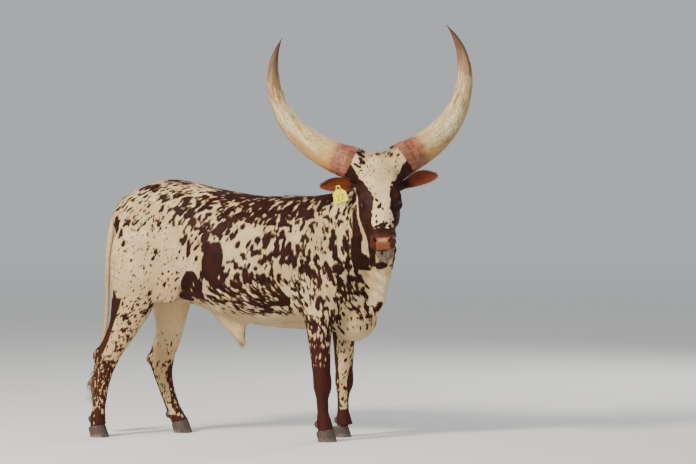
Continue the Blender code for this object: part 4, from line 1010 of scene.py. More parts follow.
# Marks round the legs: which leg, the heights between which they lie, how many, half length and half width
LEG_FLECKS = [
    ("near_front", 0.50, 0.69, 230, 0.0075, 0.0026), ("near_front", 0.37, 0.52, 60, 0.0080, 0.0022),
    ("far_front", 0.14, 0.45, 60, 0.0060, 0.0022), ("near_hind", 0.14, 0.40, 330, 0.0042, 0.0018),
    ("far_hind", 0.08, 0.30, 90, 0.0060, 0.0028), ("near_hind", 0.05, 0.16, 14, 0.006, 0.0025),
    ("near_hind", 0.38, 0.47, 80, 0.0080, 0.0018),
]
LEG_SPOTS = [
    ("far_front", 0.16, 0.52, 300, 0.0080, 0.0042), ("near_hind", 0.37, 0.50, 200, 0.0060, 0.0030),
    ("near_hind", 0.48, 0.70, 150, 0.0060, 0.0028), ("far_hind", 0.30, 0.56, 110, 0.0055, 0.0028),
    ("far_hind", 0.10, 0.40, 480, 0.0048, 0.0024),
]


def scatter_legs(spots, zones, points, normals, lie, dice):
    """Flecks or spots set at random round the legs."""
    x, y, z = (points - SHIFT).T
    where = {
        "near_front": (x > LEGS_FROM) & (y < 0),
        "far_front": (x > LEGS_FROM) & (y >= 0),
        "near_hind": (x < -LEGS_FROM) & (y < 0),
        "far_hind": (x < -LEGS_FROM) & (y >= 0),
    }
    for leg, low, high, count, long, wide in zones:
        pool = np.flatnonzero(where[leg] & (z > low) & (z < high))
        for k in dice.choice(pool, count):
            size = math.exp(dice.normal(0, 0.35))
            run = unit(lie[k] + np.cross(normals[k], lie[k]) * dice.normal(0, 0.15))
            spots.add(points[k], run, long * size, wide * size * math.exp(dice.normal(0, 0.2)))


def head_marks(points, normals, head):
    """Shares for the head: the ears, rust on nose and ears with painted shade on the muzzle's sides and in
    the mouth's line, the nose's wet pad with a painted highlight, and the ears' insides.
    """
    along, side, front = head_place(points)
    level = along - LEVEL * front
    ears = ear_share(points, 0.018, 0.052)
    nose = (head > 0.5) & (ear_share(points) == 0) & (front > -0.16)
    wander = 0.010 * lattice_noise(points, 60)
    rust = nose * smooth(0.462, 0.508, level + wander) * smooth(0.602, 0.592, level)
    # Less rust towards the muzzle's sides lets the dark show: painted shade on the sides
    rust = rust * smooth(-0.104, -0.094, front) * (0.72 - 0.25 * smooth(0.045, 0.075, abs(side)))
    # The mouth's line loses its rust and shows dark: painted shade in the crease
    rust = np.maximum(rust, ears) * (1 - 0.9 * nose * hump(front, -0.0945, 0.0035) * (level > 0.53))
    pad = nose * smooth(0.503, 0.512, level) * smooth(0.588, 0.578, level)
    pad = pad * smooth(0.039, 0.033, abs(side))
    # A painted highlight in a band across the top of the pad, which lifts the pad's share above one half
    # there
    painted_highlight_band = smooth(0.545, 0.520, level) * smooth(0.503, 0.522, level) * smooth(0.034, 0.012, abs(side))
    pad = pad * (0.5 + 0.5 * painted_highlight_band * np.clip(0.75 + 0.5 * lattice_noise(points, 160), 0, 1))
    opens = np.where(side > 0, normals @ ear_base(1)[3], normals @ ear_base(-1)[3])
    return ears, rust, pad, ears * smooth(0.25, 0.75, opens)


class Markings:
    """The animal's pattern, which skin and coat share."""

    def __init__(self, points, normals):
        dice = np.random.default_rng(12)
        lie = lie_of(points, normals)
        self.dark, self.pale = Spots(), Spots()
        stamp(self.dark, PATCHES, points, normals, dice)
        scatter(self.dark, DARK_ZONES, points, normals, lie, dice)
        scatter(self.dark, FAR_NECK_ZONES, points, normals, lie, dice, chosen_sides=(1,))
        scatter(self.pale, CREAM_ZONES, points, normals, lie, dice)
        scatter_legs(self.dark, LEG_SPOTS, points, normals, lie, dice)
        scatter_legs(self.pale, LEG_FLECKS, points, normals, lie, dice)

    def at(self, points, normals):
        """Nine numbers for each point: depth, specks, rust; bare, stain, leg; and pad with its painted
        highlight, chin painted grey as shade, ear's inside.
        """
        right, down = side_view(points)
        x, y, z = (points - SHIFT).T
        along = head_place(points)[0]
        head = head_share(points)
        depth = np.maximum(ground_depth(points, normals), self.dark.depth(points))
        depth = np.minimum(depth, -self.pale.depth(points)) + 0.0022 * lattice_noise(points, 85, 3.0)
        face = np.flatnonzero(head > 0)
        depth[face] = depth[face] * (1 - head[face]) + face_depth(points[face]) * head[face]
        below, chin = throat(points, normals)
        depth = np.where(below > -0.5, below, depth)
        tail = on_tail(points)
        depth = np.where(tail, OUTSIDE, depth)
        specks = 0.26 * smooth(300, 180, down) * smooth(215, 165, right) + 0.20 * smooth(330, 290, down)
        specks = np.where(head > 0.5, 0.30 * smooth(0.22, 0.05, along) + 0.14, specks)
        specks = np.where(tail, 0.05, specks)
        ears, rust, pad, inner = head_marks(points, normals, head)
        depth = np.where((ears > 0.3) | (rust > 0.1), INSIDE, depth)
        bare = smooth(0.72, 0.60, z) * (abs(y) < 0.16) * (abs(x) < 0.45) * smooth(-0.2, -0.7, normals[:, 2])
        stain = smooth(230, 285, down) * smooth(215, 150, right) * 0.8 + 0.25 * smooth(0.62, 0.50, z)
        leg = smooth(0.66, 0.50, z)
        return [np.stack(row, 1) for row in ((depth, specks, rust), (bare, stain, leg), (pad, chin, inner))]


# Materials
class Graph:
    """Short calls that add nodes to a material or the world and link them."""

    def __init__(self, tree):
        self.tree = tree
        self.shader = tree.nodes.get("Principled BSDF")

    def node(self, kind, **inputs):
        """A new node with some of its inputs set or linked."""
        node = self.tree.nodes.new(f"ShaderNode{kind}")
        for name, value in inputs.items():
            self.put(node.inputs[name.replace("_", " ")], value)
        return node

    def dress(self, colour, rough, normal=None):
        """Links the look to the shader. A roughness that is one number is set on its socket."""
        self.put(self.shader.inputs["Base Color"], colour)
        self.put(self.shader.inputs["Roughness"], rough)
        if normal is not None:
            self.put(self.shader.inputs["Normal"], normal)

    def fix(self, **values):
        """Sets numbers that are the same all over on the shader's own sockets."""
        for name, value in values.items():
            self.shader.inputs[name.replace("_", " ")].default_value = value

    def place(self, kind="Object"):
        return self.tree.nodes.new("ShaderNodeTexCoord").outputs[kind]

    def put(self, socket, value):
        if isinstance(value, bpy.types.NodeSocket):
            self.tree.links.new(value, socket)
        elif socket.type == "RGBA" and len(value) == 3:
            socket.default_value = (*value, 1.0)
        else:
            socket.default_value = value

    def math(self, kind, first, second=0.0):
        node = self.node("Math")
        node.operation = kind
        self.put(node.inputs[0], first)
        self.put(node.inputs[1], second)
        return node.outputs[0]

    def times(self, first, second):
        return self.math("MULTIPLY", first, second)

    def plus(self, first, second):
        return self.math("ADD", first, second)

    def minus(self, first, second):
        return self.math("SUBTRACT", first, second)

    def length(self, first, second):
        squares = self.plus(self.math("POWER", first, 2.0), self.math("POWER", second, 2.0))
        return self.math("SQRT", squares)

    def step(self, value, low, high, out_low=0.0, out_high=1.0):
        limits = {"From_Min": low, "From_Max": high, "To_Min": out_low, "To_Max": out_high}
        node = self.node("MapRange", Value=value, **limits)
        node.interpolation_type = "SMOOTHSTEP"
        return node.outputs["Result"]

    def noise(self, vector, scale, detail=3.0, rough=0.55):
        node = self.node("TexNoise", Vector=vector, Scale=scale, Detail=detail, Roughness=rough)
        return node.outputs["Fac"]

    def cells(self, vector, scale):
        return self.node("TexVoronoi", Vector=vector, Scale=scale).outputs["Distance"]

    def about_zero(self, value, size):
        """A number from 0 to 1 turned into one to either side of 0."""
        return self.times(self.minus(value, 0.5), size)

    def tint(self, share, weight, first, second):
        """The first colour with the second over it, by a share times a weight."""
        return self.mix(self.times(share, weight), first, second)

    def blotch(self, vector, scale, detail, low, high):
        """Noise drawn to soft blotches, from 0 between them to 1."""
        return self.step(self.noise(vector, scale, detail), low, high)

    def mix(self, share, first, second, kind="MIX"):
        node = self.node("Mix")
        node.data_type = "RGBA"
        node.blend_type = kind
        self.put(node.inputs[0], share)
        self.put(node.inputs[6], first)
        self.put(node.inputs[7], second)
        return node.outputs[2]

    def scaled(self, vector, factors):
        node = self.node("VectorMath")
        node.operation = "MULTIPLY"
        self.put(node.inputs[0], vector)
        self.put(node.inputs[1], factors)
        return node.outputs[0]

    def stored(self, name):
        node = self.node("Attribute")
        node.attribute_name = name
        return node.outputs["Vector"]

    def parts(self, vector):
        return self.node("SeparateXYZ", Vector=vector).outputs

    def bump(self, height, strength, distance):
        return self.node("Bump", Strength=strength, Distance=distance, Height=height).outputs[0]


def new_material(name):
    """A new node material and the calls that fill it."""
    material = bpy.data.materials.new(name)
    material.use_nodes = True
    return material, Graph(material.node_tree)


# Paints, each as the two tones between which it varies
CREAM = ((0.60, 0.43, 0.215), (0.77, 0.60, 0.345))
BROWN = ((0.021, 0.0044, 0.0028), (0.040, 0.0090, 0.0052))
RUST = ((0.060, 0.0125, 0.0055), (0.115, 0.0260, 0.0090))
WET = ((0.12, 0.036, 0.016), (0.28, 0.094, 0.040))
# The chin's grey on the next line is painted shade under the muzzle
GREY_PAINTED_SHADE = ((0.13, 0.098, 0.066), (0.27, 0.205, 0.140))
PALE = ((0.56, 0.42, 0.26), (0.54, 0.34, 0.21))
GRAIN = ((0.35, 0.35, 0.35), (1.0, 1.0, 1.0))
STRAND_GRAIN = ((0.4, 0.4, 0.4), (1, 1, 1))
HORN_CREAM = ((0.78, 0.68, 0.40), (0.50, 0.34, 0.125))
HORN_RED = ((0.11, 0.022, 0.015), (0.28, 0.078, 0.050))
HOOF_HORN = ((0.030, 0.020, 0.015), (0.085, 0.055, 0.036))
STRAND = ((0.075, 0.024, 0.009), (0.24, 0.090, 0.032))
IRIS = ((0.022, 0.0075, 0.004), (0.060, 0.022, 0.010))
TAG_YELLOW = ((0.92, 0.80, 0.008), (0.80, 0.62, 0.012))
INK_BLACK = ((0.020, 0.018, 0.016), (0.05, 0.045, 0.04))
FLOOR_PALE = ((0.70, 0.69, 0.67), (0.74, 0.73, 0.71))

# Single tones laid over the paints
CREAM_SHADE, CREAM_STAIN, LEG_BROWN = (0.42, 0.27, 0.13), (0.52, 0.34, 0.17), (0.066, 0.0140, 0.0070)
# The second tone on the next line is a painted highlight for the top of the nose's pad
EAR_INSIDE, NOSE_PAINTED_HIGHLIGHT = (0.165, 0.036, 0.0105), (0.50, 0.34, 0.26)
HORN_FIBRE, HORN_LUMP, HORN_FRECKLE = (0.24, 0.115, 0.04), (0.28, 0.165, 0.045), (0.20, 0.090, 0.035)
# The first tone on the next line is painted shade for the horns' lower sides
HORN_AMBER_PAINTED_SHADE, HORN_OCHRE, HORN_PINK = (0.25, 0.105, 0.022), (0.44, 0.225, 0.060), (0.37, 0.16, 0.09)
HORN_TAN, HORN_BROWN, HORN_GREY = (0.27, 0.135, 0.060), (0.17, 0.066, 0.024), (0.105, 0.070, 0.045)
HORN_TIP, HORN_SPOT, HOOF_DUST = (0.060, 0.022, 0.011), (0.26, 0.05, 0.025), (0.30, 0.23, 0.15)
STRAND_END, EYE_RIM, PUPIL = (0.34, 0.150, 0.060), (0.11, 0.060, 0.042), (0.004, 0.004, 0.006)
SKY = (0.84, 0.88, 0.93)


def coat_material():
    """Cream hair with chocolate markings, rust muzzle and ears, a wet nose with a painted highlight and a
    chin painted grey as shade, from stored numbers.
    """
    material, g = new_material("coat")
    root = g.stored("root")
    depth, specks, rust = g.parts(g.stored("marks"))
    bare, stain, leg = g.parts(g.stored("tones"))
    pad, chin, inner = g.parts(g.stored("extras"))
    edge = g.plus(depth, g.about_zero(g.noise(g.scaled(root, (1, 1, 0.45)), 150, 4, 0.7), 0.0062))
    edge = g.plus(edge, g.about_zero(g.noise(root, 38, 3, 0.6), 0.0048))
    dark = g.step(edge, -0.0011, 0.0011)
    cell = g.cells(g.scaled(root, (1, 1, 0.55)), 85)
    size = g.times(specks, g.step(g.noise(root, 26, 2), 0.42, 0.62, 0.25, 0.85))
    fine = g.step(g.minus(size, cell), -0.04, 0.04)
    dark = g.math("MAXIMUM", dark, g.times(fine, 0.85))
    cream = g.mix(g.blotch(root, 7, 3, 0.35, 0.7), *CREAM)
    cream = g.tint(g.blotch(root, 60, 4, 0.4, 0.75), 0.4, cream, CREAM_SHADE)
    cream = g.tint(stain, 0.5, cream, CREAM_STAIN)
    brown = g.mix(g.blotch(root, 12, 3, 0.35, 0.7), *BROWN)
    brown = g.tint(leg, 0.6, brown, LEG_BROWN)
    colour = g.mix(dark, cream, brown)
    rusty = g.mix(g.blotch(root, 40, 3, 0.3, 0.7), *RUST)
    colour = g.mix(rust, colour, rusty)
    colour = g.tint(inner, 0.75, colour, EAR_INSIDE)
    pebble = g.cells(root, 330)
    wet = g.mix(g.step(pebble, 0.1, 0.6), *WET)
    # A painted highlight across the top of the nose's pad
    painted_highlight = g.step(pad, 0.52, 1.0)
    wet = g.tint(painted_highlight, 0.7, wet, NOSE_PAINTED_HIGHLIGHT)
    colour = g.mix(g.step(pad, 0.0, 0.45), colour, wet)
    # The chin painted grey: painted shade under the muzzle
    grey = g.mix(g.blotch(root, 70, 3, 0.35, 0.65), *GREY_PAINTED_SHADE)
    colour = g.mix(g.times(chin, g.minus(1.0, dark)), colour, grey)
    pale = g.mix(g.blotch(root, 30, 3, 0.3, 0.7), *PALE)
    colour = g.tint(bare, 0.6, colour, pale)
    fleck = g.noise(root, 420, 2)
    colour = g.mix(0.22, colour, g.mix(fleck, *GRAIN), "MULTIPLY")
    rough = g.minus(g.step(g.noise(root, 55, 2), 0.3, 0.7, 0.56, 0.72), g.times(pad, 0.42))
    height = g.noise(g.scaled(root, (1, 1, 0.25)), 900, 3)
    height = g.minus(height, g.times(g.times(pebble, pad), 1.4))
    g.dress(colour, rough, g.bump(height, 0.35, 0.0012))
    g.fix(Specular_IOR_Level=0.15)
    return material


# The coat
def region_of(points):
    """The number of the coat region that each point belongs to."""
    x, y, z = (points - SHIFT).T

    def numbers(name, beside=y):
        left, right = (COAT_REGIONS.index(f"{name}_{side}") for side in ("left", "right"))
        return np.where(beside > 0, left, right)

    rear, ahead = FORELEG_REGION
    region = np.where(x > SHOULDER_FROM, numbers("shoulder"), numbers("flank"))
    region = np.where((x > NECK_FROM) & (z > NECK_ABOVE), COAT_REGIONS.index("neck"), region)
    region = np.where((x > rear) & (x <= ahead) & (z < FORELEG_TOP), numbers("front"), region)
    region = np.where((x < HIND_LEG_REGION) & (z < HIND_LEG_TOP), numbers("hind"), region)
    return np.where(is_head(points), numbers("face", head_place(points)[1]), region)


def unwrap(points, region):
    """A region's skin rolled flat round its own middle line, as places from 0 to 1."""
    spot = points - SHIFT
    x, y, z = spot.T
    if region.startswith("face"):
        length, a, front = head_place(points)
        b = front + 0.10
    elif region == "neck":
        length, a, b = x * 0.5 - z * 0.86, y + 0.10, x * 0.86 + z * 0.5 - 1.2
    elif region.startswith(("flank", "shoulder")):
        length, a, b = x, y * 0.8, z - 0.95
    else:
        middle = np.median(spot, axis=0)
        length, a, b = z, x - middle[0], y - middle[1]
    angle = np.arctan2(a, b) / (2 * math.pi) + 0.5
    low, high = length.min(), length.max()
    return np.stack((0.01 + 0.98 * angle, 0.01 + 0.98 * (length - low) / max(high - low, 1e-6)), 1)


def coat_sizes(points, normals):
    """How long, how wide, how raised and how dense the tufts are at each point."""
    x, y, z = (points - SHIFT).T
    along, side, front = head_place(points)
    head = is_head(points)
    long = np.full(len(points), TUFT_LENGTH)
    long += 0.006 * hump(x, 0.40, 0.22) * smooth(1.22, 1.29, z)
    long += 0.004 * smooth(0.75, 0.62, z) * (abs(x) < 0.42) * smooth(-0.1, -0.6, normals[:, 2])
    long = np.where(z < 0.62, TUFT_LENGTH_LOW, long)
    long += 0.010 * smooth(0.60, 0.53, z) * (abs(x) < 0.15) * (abs(y) < 0.09)
    fetlock = smooth(-0.2, -0.8, normals[:, 0]) * hump(z, 0.085, 0.035)
    long = np.where(z < 0.30, TUFT_LENGTH_FOOT + 0.010 * fetlock, long)
    face = 0.0052 + 0.004 * smooth(0.17, 0.05, along) + 0.007 * smooth(0.03, -0.03, along)
    face += 0.006 * smooth(-0.16, -0.21, front)
    face = np.where(abs(side) > 0.125, TUFT_LENGTH_BESIDE_FACE, face)
    long = np.where(head, face, long)
    bald = head & (along > 0.474) & (abs(side) < 0.064) & (front > -0.112)
    for flip in (-1, 1):
        centre, gaze, slit, upper = eye_frame(flip)
        offset = points - centre
        a, b = offset @ slit, offset @ upper
        bald |= ((a / 0.0215) ** 2 + (b / 0.0115) ** 2 < 1.0) & (offset @ gaze > -0.01)
        by_eye = np.linalg.norm(offset, axis=1) < EYE_NEAR
        long = np.where(by_eye, np.minimum(long, TUFT_LENGTH_EYE), long)
    tail = on_tail(points)
    long = np.where(tail, TUFT_LENGTH, long)
    wide = 0.0012 + long * 0.105
    wide = np.where(head, 0.0007 + long * 0.085, wide)
    lift = np.where(tail, 0.10, TUFT_LIFT) + 0.10 * (head & (along < 0.02))
    dense = (TUFT_LENGTH / long) ** 1.15
    dense = np.where(head, dense * 1.1, dense)
    dense = np.where(bald, 0.0, dense)
    return long, wide, lift, dense


def grow_tufts(name, roots, normals, lie, long, wide, lift, levels, patches, dice):
    """A mesh of tapered tufts with three-cornered sections: levels rings and a tip for each."""
    count = len(roots)
    across = unit(np.cross(lie, normals))
    swing = dice.normal(0, 0.16, count)
    lie = unit(lie + across * swing[:, None])
    across = unit(np.cross(lie, normals))
    rings, patch_rings = [], []
    for level in range(levels):
        share = level / levels
        far = long * share * np.cos(lift)
        high = long * np.sin(lift) * share * (1.35 - 0.35 * share) - TUFT_SINK * (level == 0)
        centre = roots + lie * far[:, None] + normals * high[:, None]
        half = wide / 2 * (1 - share) ** 0.7 * (1.0 if level else 0.9)
        ridge = wide * 0.30 * (1 - share) ** 0.7
        aside, above = across * half[:, None], normals * ridge[:, None]
        rings += [centre + aside, centre - aside, centre + above]
        low = -TUFT_PATCH + 0.0022 * share
        edge = TUFT_PATCH * (1 - 0.6 * share)
        patch_rings += [(edge, low), (-edge, low), (0.0, low + 0.0006)]
    rings.append(roots + lie * (long * np.cos(lift))[:, None] + normals * (long * np.sin(lift))[:, None])
    patch_rings.append((0.0, TUFT_PATCH))
    size = 3 * levels + 1
    points = np.stack(rings, 1).reshape(-1, 3)
    pattern = [(0, 2, 1)]
    for level in range(levels - 1):
        low, high = 3 * level, 3 * level + 3
        for k in range(3):
            after = (k + 1) % 3
            pattern += [(low + k, low + after, high + after), (low + k, high + after, high + k)]
    last = 3 * (levels - 1)
    pattern += [(last + k, last + (k + 1) % 3, size - 1) for k in range(3)]
    pattern = np.array(pattern)
    faces = (np.arange(count)[:, None, None] * size + pattern[None]).reshape(-1, 3)
    mesh = mesh_of(name, points, faces)
    shape = np.array(patch_rings)
    places = (patches[:, None, :] + shape[None]).reshape(-1, 2)
    layer = mesh.uv_layers.new(name="OFBake")
    layer.data.foreach_set("uv", places[faces.ravel()].astype(np.float32).ravel())
    return mesh, size


def sample_skin(mesh, count, dice):
    """Places spread over the skin by how dense the coat is there: positions and normals."""
    mesh.calc_loop_triangles()
    corners = np.empty(len(mesh.loop_triangles) * 3, np.int32)
    mesh.loop_triangles.foreach_get("vertices", corners)
    corners = corners.reshape(-1, 3)
    points, normals = points_of(mesh), normals_of(mesh)
    a, b, c = points[corners[:, 0]], points[corners[:, 1]], points[corners[:, 2]]
    area = np.linalg.norm(np.cross(b - a, c - a), axis=1) / 2
    dense = coat_sizes(points, normals)[3]
    weight = area * dense[corners].mean(1)
    total = np.cumsum(weight)
    picks = np.searchsorted(total, (np.arange(count) + dice.random(count)) / count * total[-1])
    picks = np.minimum(picks, len(corners) - 1)
    first, second = dice.random((2, count))
    flipped = first + second > 1
    first, second = np.where(flipped, 1 - first, first), np.where(flipped, 1 - second, second)
    third = 1 - first - second
    shares = np.stack((third, first, second), 1)
    spots = (points[corners[picks]] * shares[:, :, None]).sum(1)
    facing = unit((normals[corners[picks]] * shares[:, :, None]).sum(1))
    return spots, facing


def store_marks(mesh, roots, marks, size=1):
    """Stores the place and the marks of each tuft at its points, size of them to a tuft."""
    for title, rows in zip(("root", "marks", "tones", "extras"), (roots, *marks)):
        add_vectors(mesh, title, np.repeat(rows, size, axis=0))


def make_coat(skin, markings, material):
    """The short coat, as closed tufts in one piece for each region."""
    dice = np.random.default_rng(5)
    roots, normals = sample_skin(skin.data, TUFTS, dice)
    lie = lie_of(roots, normals)
    long, wide, lift, dense = coat_sizes(roots, normals)
    long = long * np.exp(dice.normal(0, 0.18, TUFTS))
    wide = wide * np.exp(dice.normal(0, 0.15, TUFTS))
    lift = np.clip(lift + dice.normal(0, 0.05, TUFTS), 0.02, 0.6)
    marks = markings.at(roots, normals)
    region = region_of(roots)
    pieces = []
    for number, name in enumerate(COAT_REGIONS):
        chosen = (region == number) & (dense > 0)
        if not chosen.any():
            continue
        mesh, size = grow_tufts(
            f"coat_{name}", roots[chosen], normals[chosen], lie[chosen], long[chosen], wide[chosen],
            lift[chosen], 1, unwrap(roots[chosen], name), dice,
        )
        store_marks(mesh, roots[chosen], [rows[chosen] for rows in marks], size)
        pieces.append(add_object(f"coat_{name}", mesh, material))
    return pieces


# Longer hair
def make_hair(name, rows, markings, material):
    """Long hairs as one piece. A row holds a root, the normal and lie there, and length, width and lift."""
    dice = np.random.default_rng(len(rows))
    roots, normals, lie = (np.array([row[k] for row in rows]) for k in range(3))
    long, wide, lift = np.array([row[3:] for row in rows]).T
    number = np.arange(len(rows))
    across = math.ceil(math.sqrt(len(rows)))
    patches = np.stack((number % across, number // across), 1) * 0.94 / across + 0.03
    mesh, size = grow_tufts(name, roots, normals, unit(lie), long, wide, lift, HAIR_RINGS, patches, dice)
    marks = markings.at(roots, normals)
    if name == "lashes":
        marks[0][:] = (INSIDE, 0.0, 0.0)
    store_marks(mesh, roots, marks, size)
    return add_object(name, mesh, material)


def ear_hair(flip, dice):
    """Fringes on both edges of an ear and long hair inside its cup."""
    _, out, across, opens = ear_base(flip)
    rows = through(EAR_ROWS, EAR_STEPS)
    hairs = []
    for k in range(EAR_HAIRS):
        share, wide, depth, _ = rows[int(len(rows) * (0.10 + 0.86 * dice.random()))]
        centre = ear_middle(flip, share, share)
        half = EAR_WIDTH * wide / 2
        if k % 3:
            edge = 1 if k % 2 else -1
            place = centre + across * (half * 0.97 * edge) - opens * (0.002 * dice.random())
            lie = across * (edge * (0.55 + 0.3 * dice.random())) + out * 0.8
            size = 0.007 + 0.005 * dice.random()
            hairs.append((place, opens, lie, size, 0.0008, dice.normal(0.0, 0.12)))
        elif share < 0.62:
            sideways = dice.uniform(-0.85, 0.85)
            place = centre + across * (half * sideways) - opens * (depth * (1 - sideways**2))
            lie = out * 0.9 - across * (0.5 * sideways)
            hairs.append((place, opens, lie, 0.022 + 0.014 * dice.random(), 0.0010, dice.normal(0.45, 0.12)))
    return hairs


def lashes(flip, dice):
    """Lashes along the upper lid of an eye."""
    centre, gaze, slit, upper = eye_frame(flip)
    hairs = []
    for turn in np.linspace(0.12, 0.90, LASHES):
        angle = math.pi * (turn + dice.normal(0, 0.006))
        a, b = SLIT[0] * math.cos(angle) * 1.02, SLIT[1] * math.sin(angle) ** 0.8 * 1.10
        high = math.sqrt((EYE_RADIUS + LID) ** 2 - a * a - b * b) - 0.0008
        place = centre + slit * a + upper * b + gaze * high
        lie = gaze * 0.80 + upper * 0.42 + slit * (0.35 * math.cos(angle))
        hairs.append((place, upper, lie, 0.012 + 0.005 * dice.random(), 0.0007, dice.normal(0.25, 0.08)))
    return hairs


def crest_hair(points, normals, dice):
    """Tufts on the poll and the withers, and the long hair at the end of the sheath."""
    x, y, z = (points - SHIFT).T
    along, side, front = head_place(points)
    flow = lie_of(points, normals)
    places = [
        (is_head(points) & (along < 0.035) & (abs(side) < 0.085) & (front > -0.16), 420, 0.017, 0.0019, 0.42),
        ((x > 0.25) & (x < 0.36) & (abs(y) < 0.022) & (z > 1.28), 110, 0.022, 0.0020, 0.55),
        ((abs(x) < 0.20) & (abs(y) < 0.05) & (z < 0.530), 170, 0.030, 0.0020, 0.5),
    ]
    hairs = []
    for chosen, count, long, wide, lift in places:
        pool = np.flatnonzero(chosen)
        for k in dice.choice(pool, count):
            size = long * math.exp(dice.normal(0, 0.25))
            spot = points[k] + dice.normal(0, 0.003, 3)
            spot -= normals[k] * ((spot - points[k]) @ normals[k])
            hairs.append((spot, normals[k], flow[k], size, wide, dice.normal(lift, 0.12)))
    return hairs


# Horns
def horn_path(name, flip, steps):
    """The horn's centres, radii and shares of its length, from inside its root to its tip."""
    root = on_side(HORN_ROOT[name], flip)
    rising = HORN_UP * math.cos(HORN_LEAN) - FACING * math.sin(HORN_LEAN)
    low, high = HORN_HEADING[name]
    outward = HORN_SIDE * flip
    start = root - (outward * math.cos(low) + rising * math.sin(low)) * HORN_SINK
    rows = [(*start, HORN_RADIUS * 0.97, 0.0)]
    place = root.copy()
    for step in range(steps):
        share = step / steps
        radius = HORN_RADIUS * (1 - share**1.2) ** 0.92
        back = FACING * (-HORN_SWEEP * math.sin(math.pi * min(1.0, share * 1.15)))
        rows.append((*(place + back), radius, share))
        heading = low + (high - low) * ((share + 0.5 / steps) ** HORN_BEND[name])
        run = outward * math.cos(heading) + rising * math.sin(heading)
        place = place + run * (HORN_LENGTH[name] / steps)
    back = FACING * (-HORN_SWEEP * math.sin(math.pi))
    rows.append((*(place + back), HORN_RADIUS * 0.040, 1.0))
    return np.array(rows)


def make_horn(name, flip, material):
    """A horn with fibrous grooves, growth rings and a blunt tip."""
    rows = horn_path(name, flip, HORN_STEPS)
    centres = rows[:, :3]
    runs = unit(np.gradient(centres, axis=0))
    angles = np.linspace(0, 2 * math.pi, HORN_AROUND, endpoint=False)
    dice = np.random.default_rng(20 + flip)
    phases = dice.random((len(HORN_FIBRES), 2)) * 6.28
    rings, grains = [], []
    for k, (centre, run) in enumerate(zip(centres, runs)):
        radius, share = rows[k, 3], rows[k, 4]
        side = unit(np.cross(FACING, run))
        up = np.cross(run, side)
        fibre = sum(
            np.sin(angles * freq + phase[0] + 2.2 * math.sin(share * 7 + phase[1]))
            for freq, phase in zip(HORN_FIBRES, phases)
        )
        rough = 0.0011 * fibre / 3 * (1 - 0.75 * share) * min(1.0, share * 14 + 0.4)
        rim = 0.0016 * math.sin(share * 150) * max(0.0, 1 - share * 5.5)
        crown = 0.0030 * math.exp(-(((share - 0.020) / 0.016) ** 2))
        swell = 1 + SHEATH_SWELL * smooth(0.50, 0.90, share) - SHEATH_SHRINK
        reach = radius * swell + (rough + rim + crown) * (radius / HORN_RADIUS)
        ring = centre + side * (np.cos(angles) * reach)[:, None] + up * (np.sin(angles) * reach)[:, None]
        rings.append(ring)
        # How far each point lies below the middle, from which the paint lays painted shade on the lower side
        low = -ring @ UP + centre @ UP
        grains.append(np.stack((np.full(HORN_AROUND, share), low / max(radius, 1e-4), angles), 1))
    mesh = loft_mesh(f"horn_{name}_sheath", rings)
    horn = add_object(f"horn_{name}_sheath", mesh, material)
    grains = np.vstack(grains)
    share, _, turn = grains.T
    wrapped = np.stack((np.cos(turn) * 0.09, np.sin(turn) * 0.09, share * 0.30 + 3.0 * (flip > 0)), 1)
    add_vectors(mesh, "grain", wrapped)
    add_vectors(mesh, "horn", grains)
    return horn


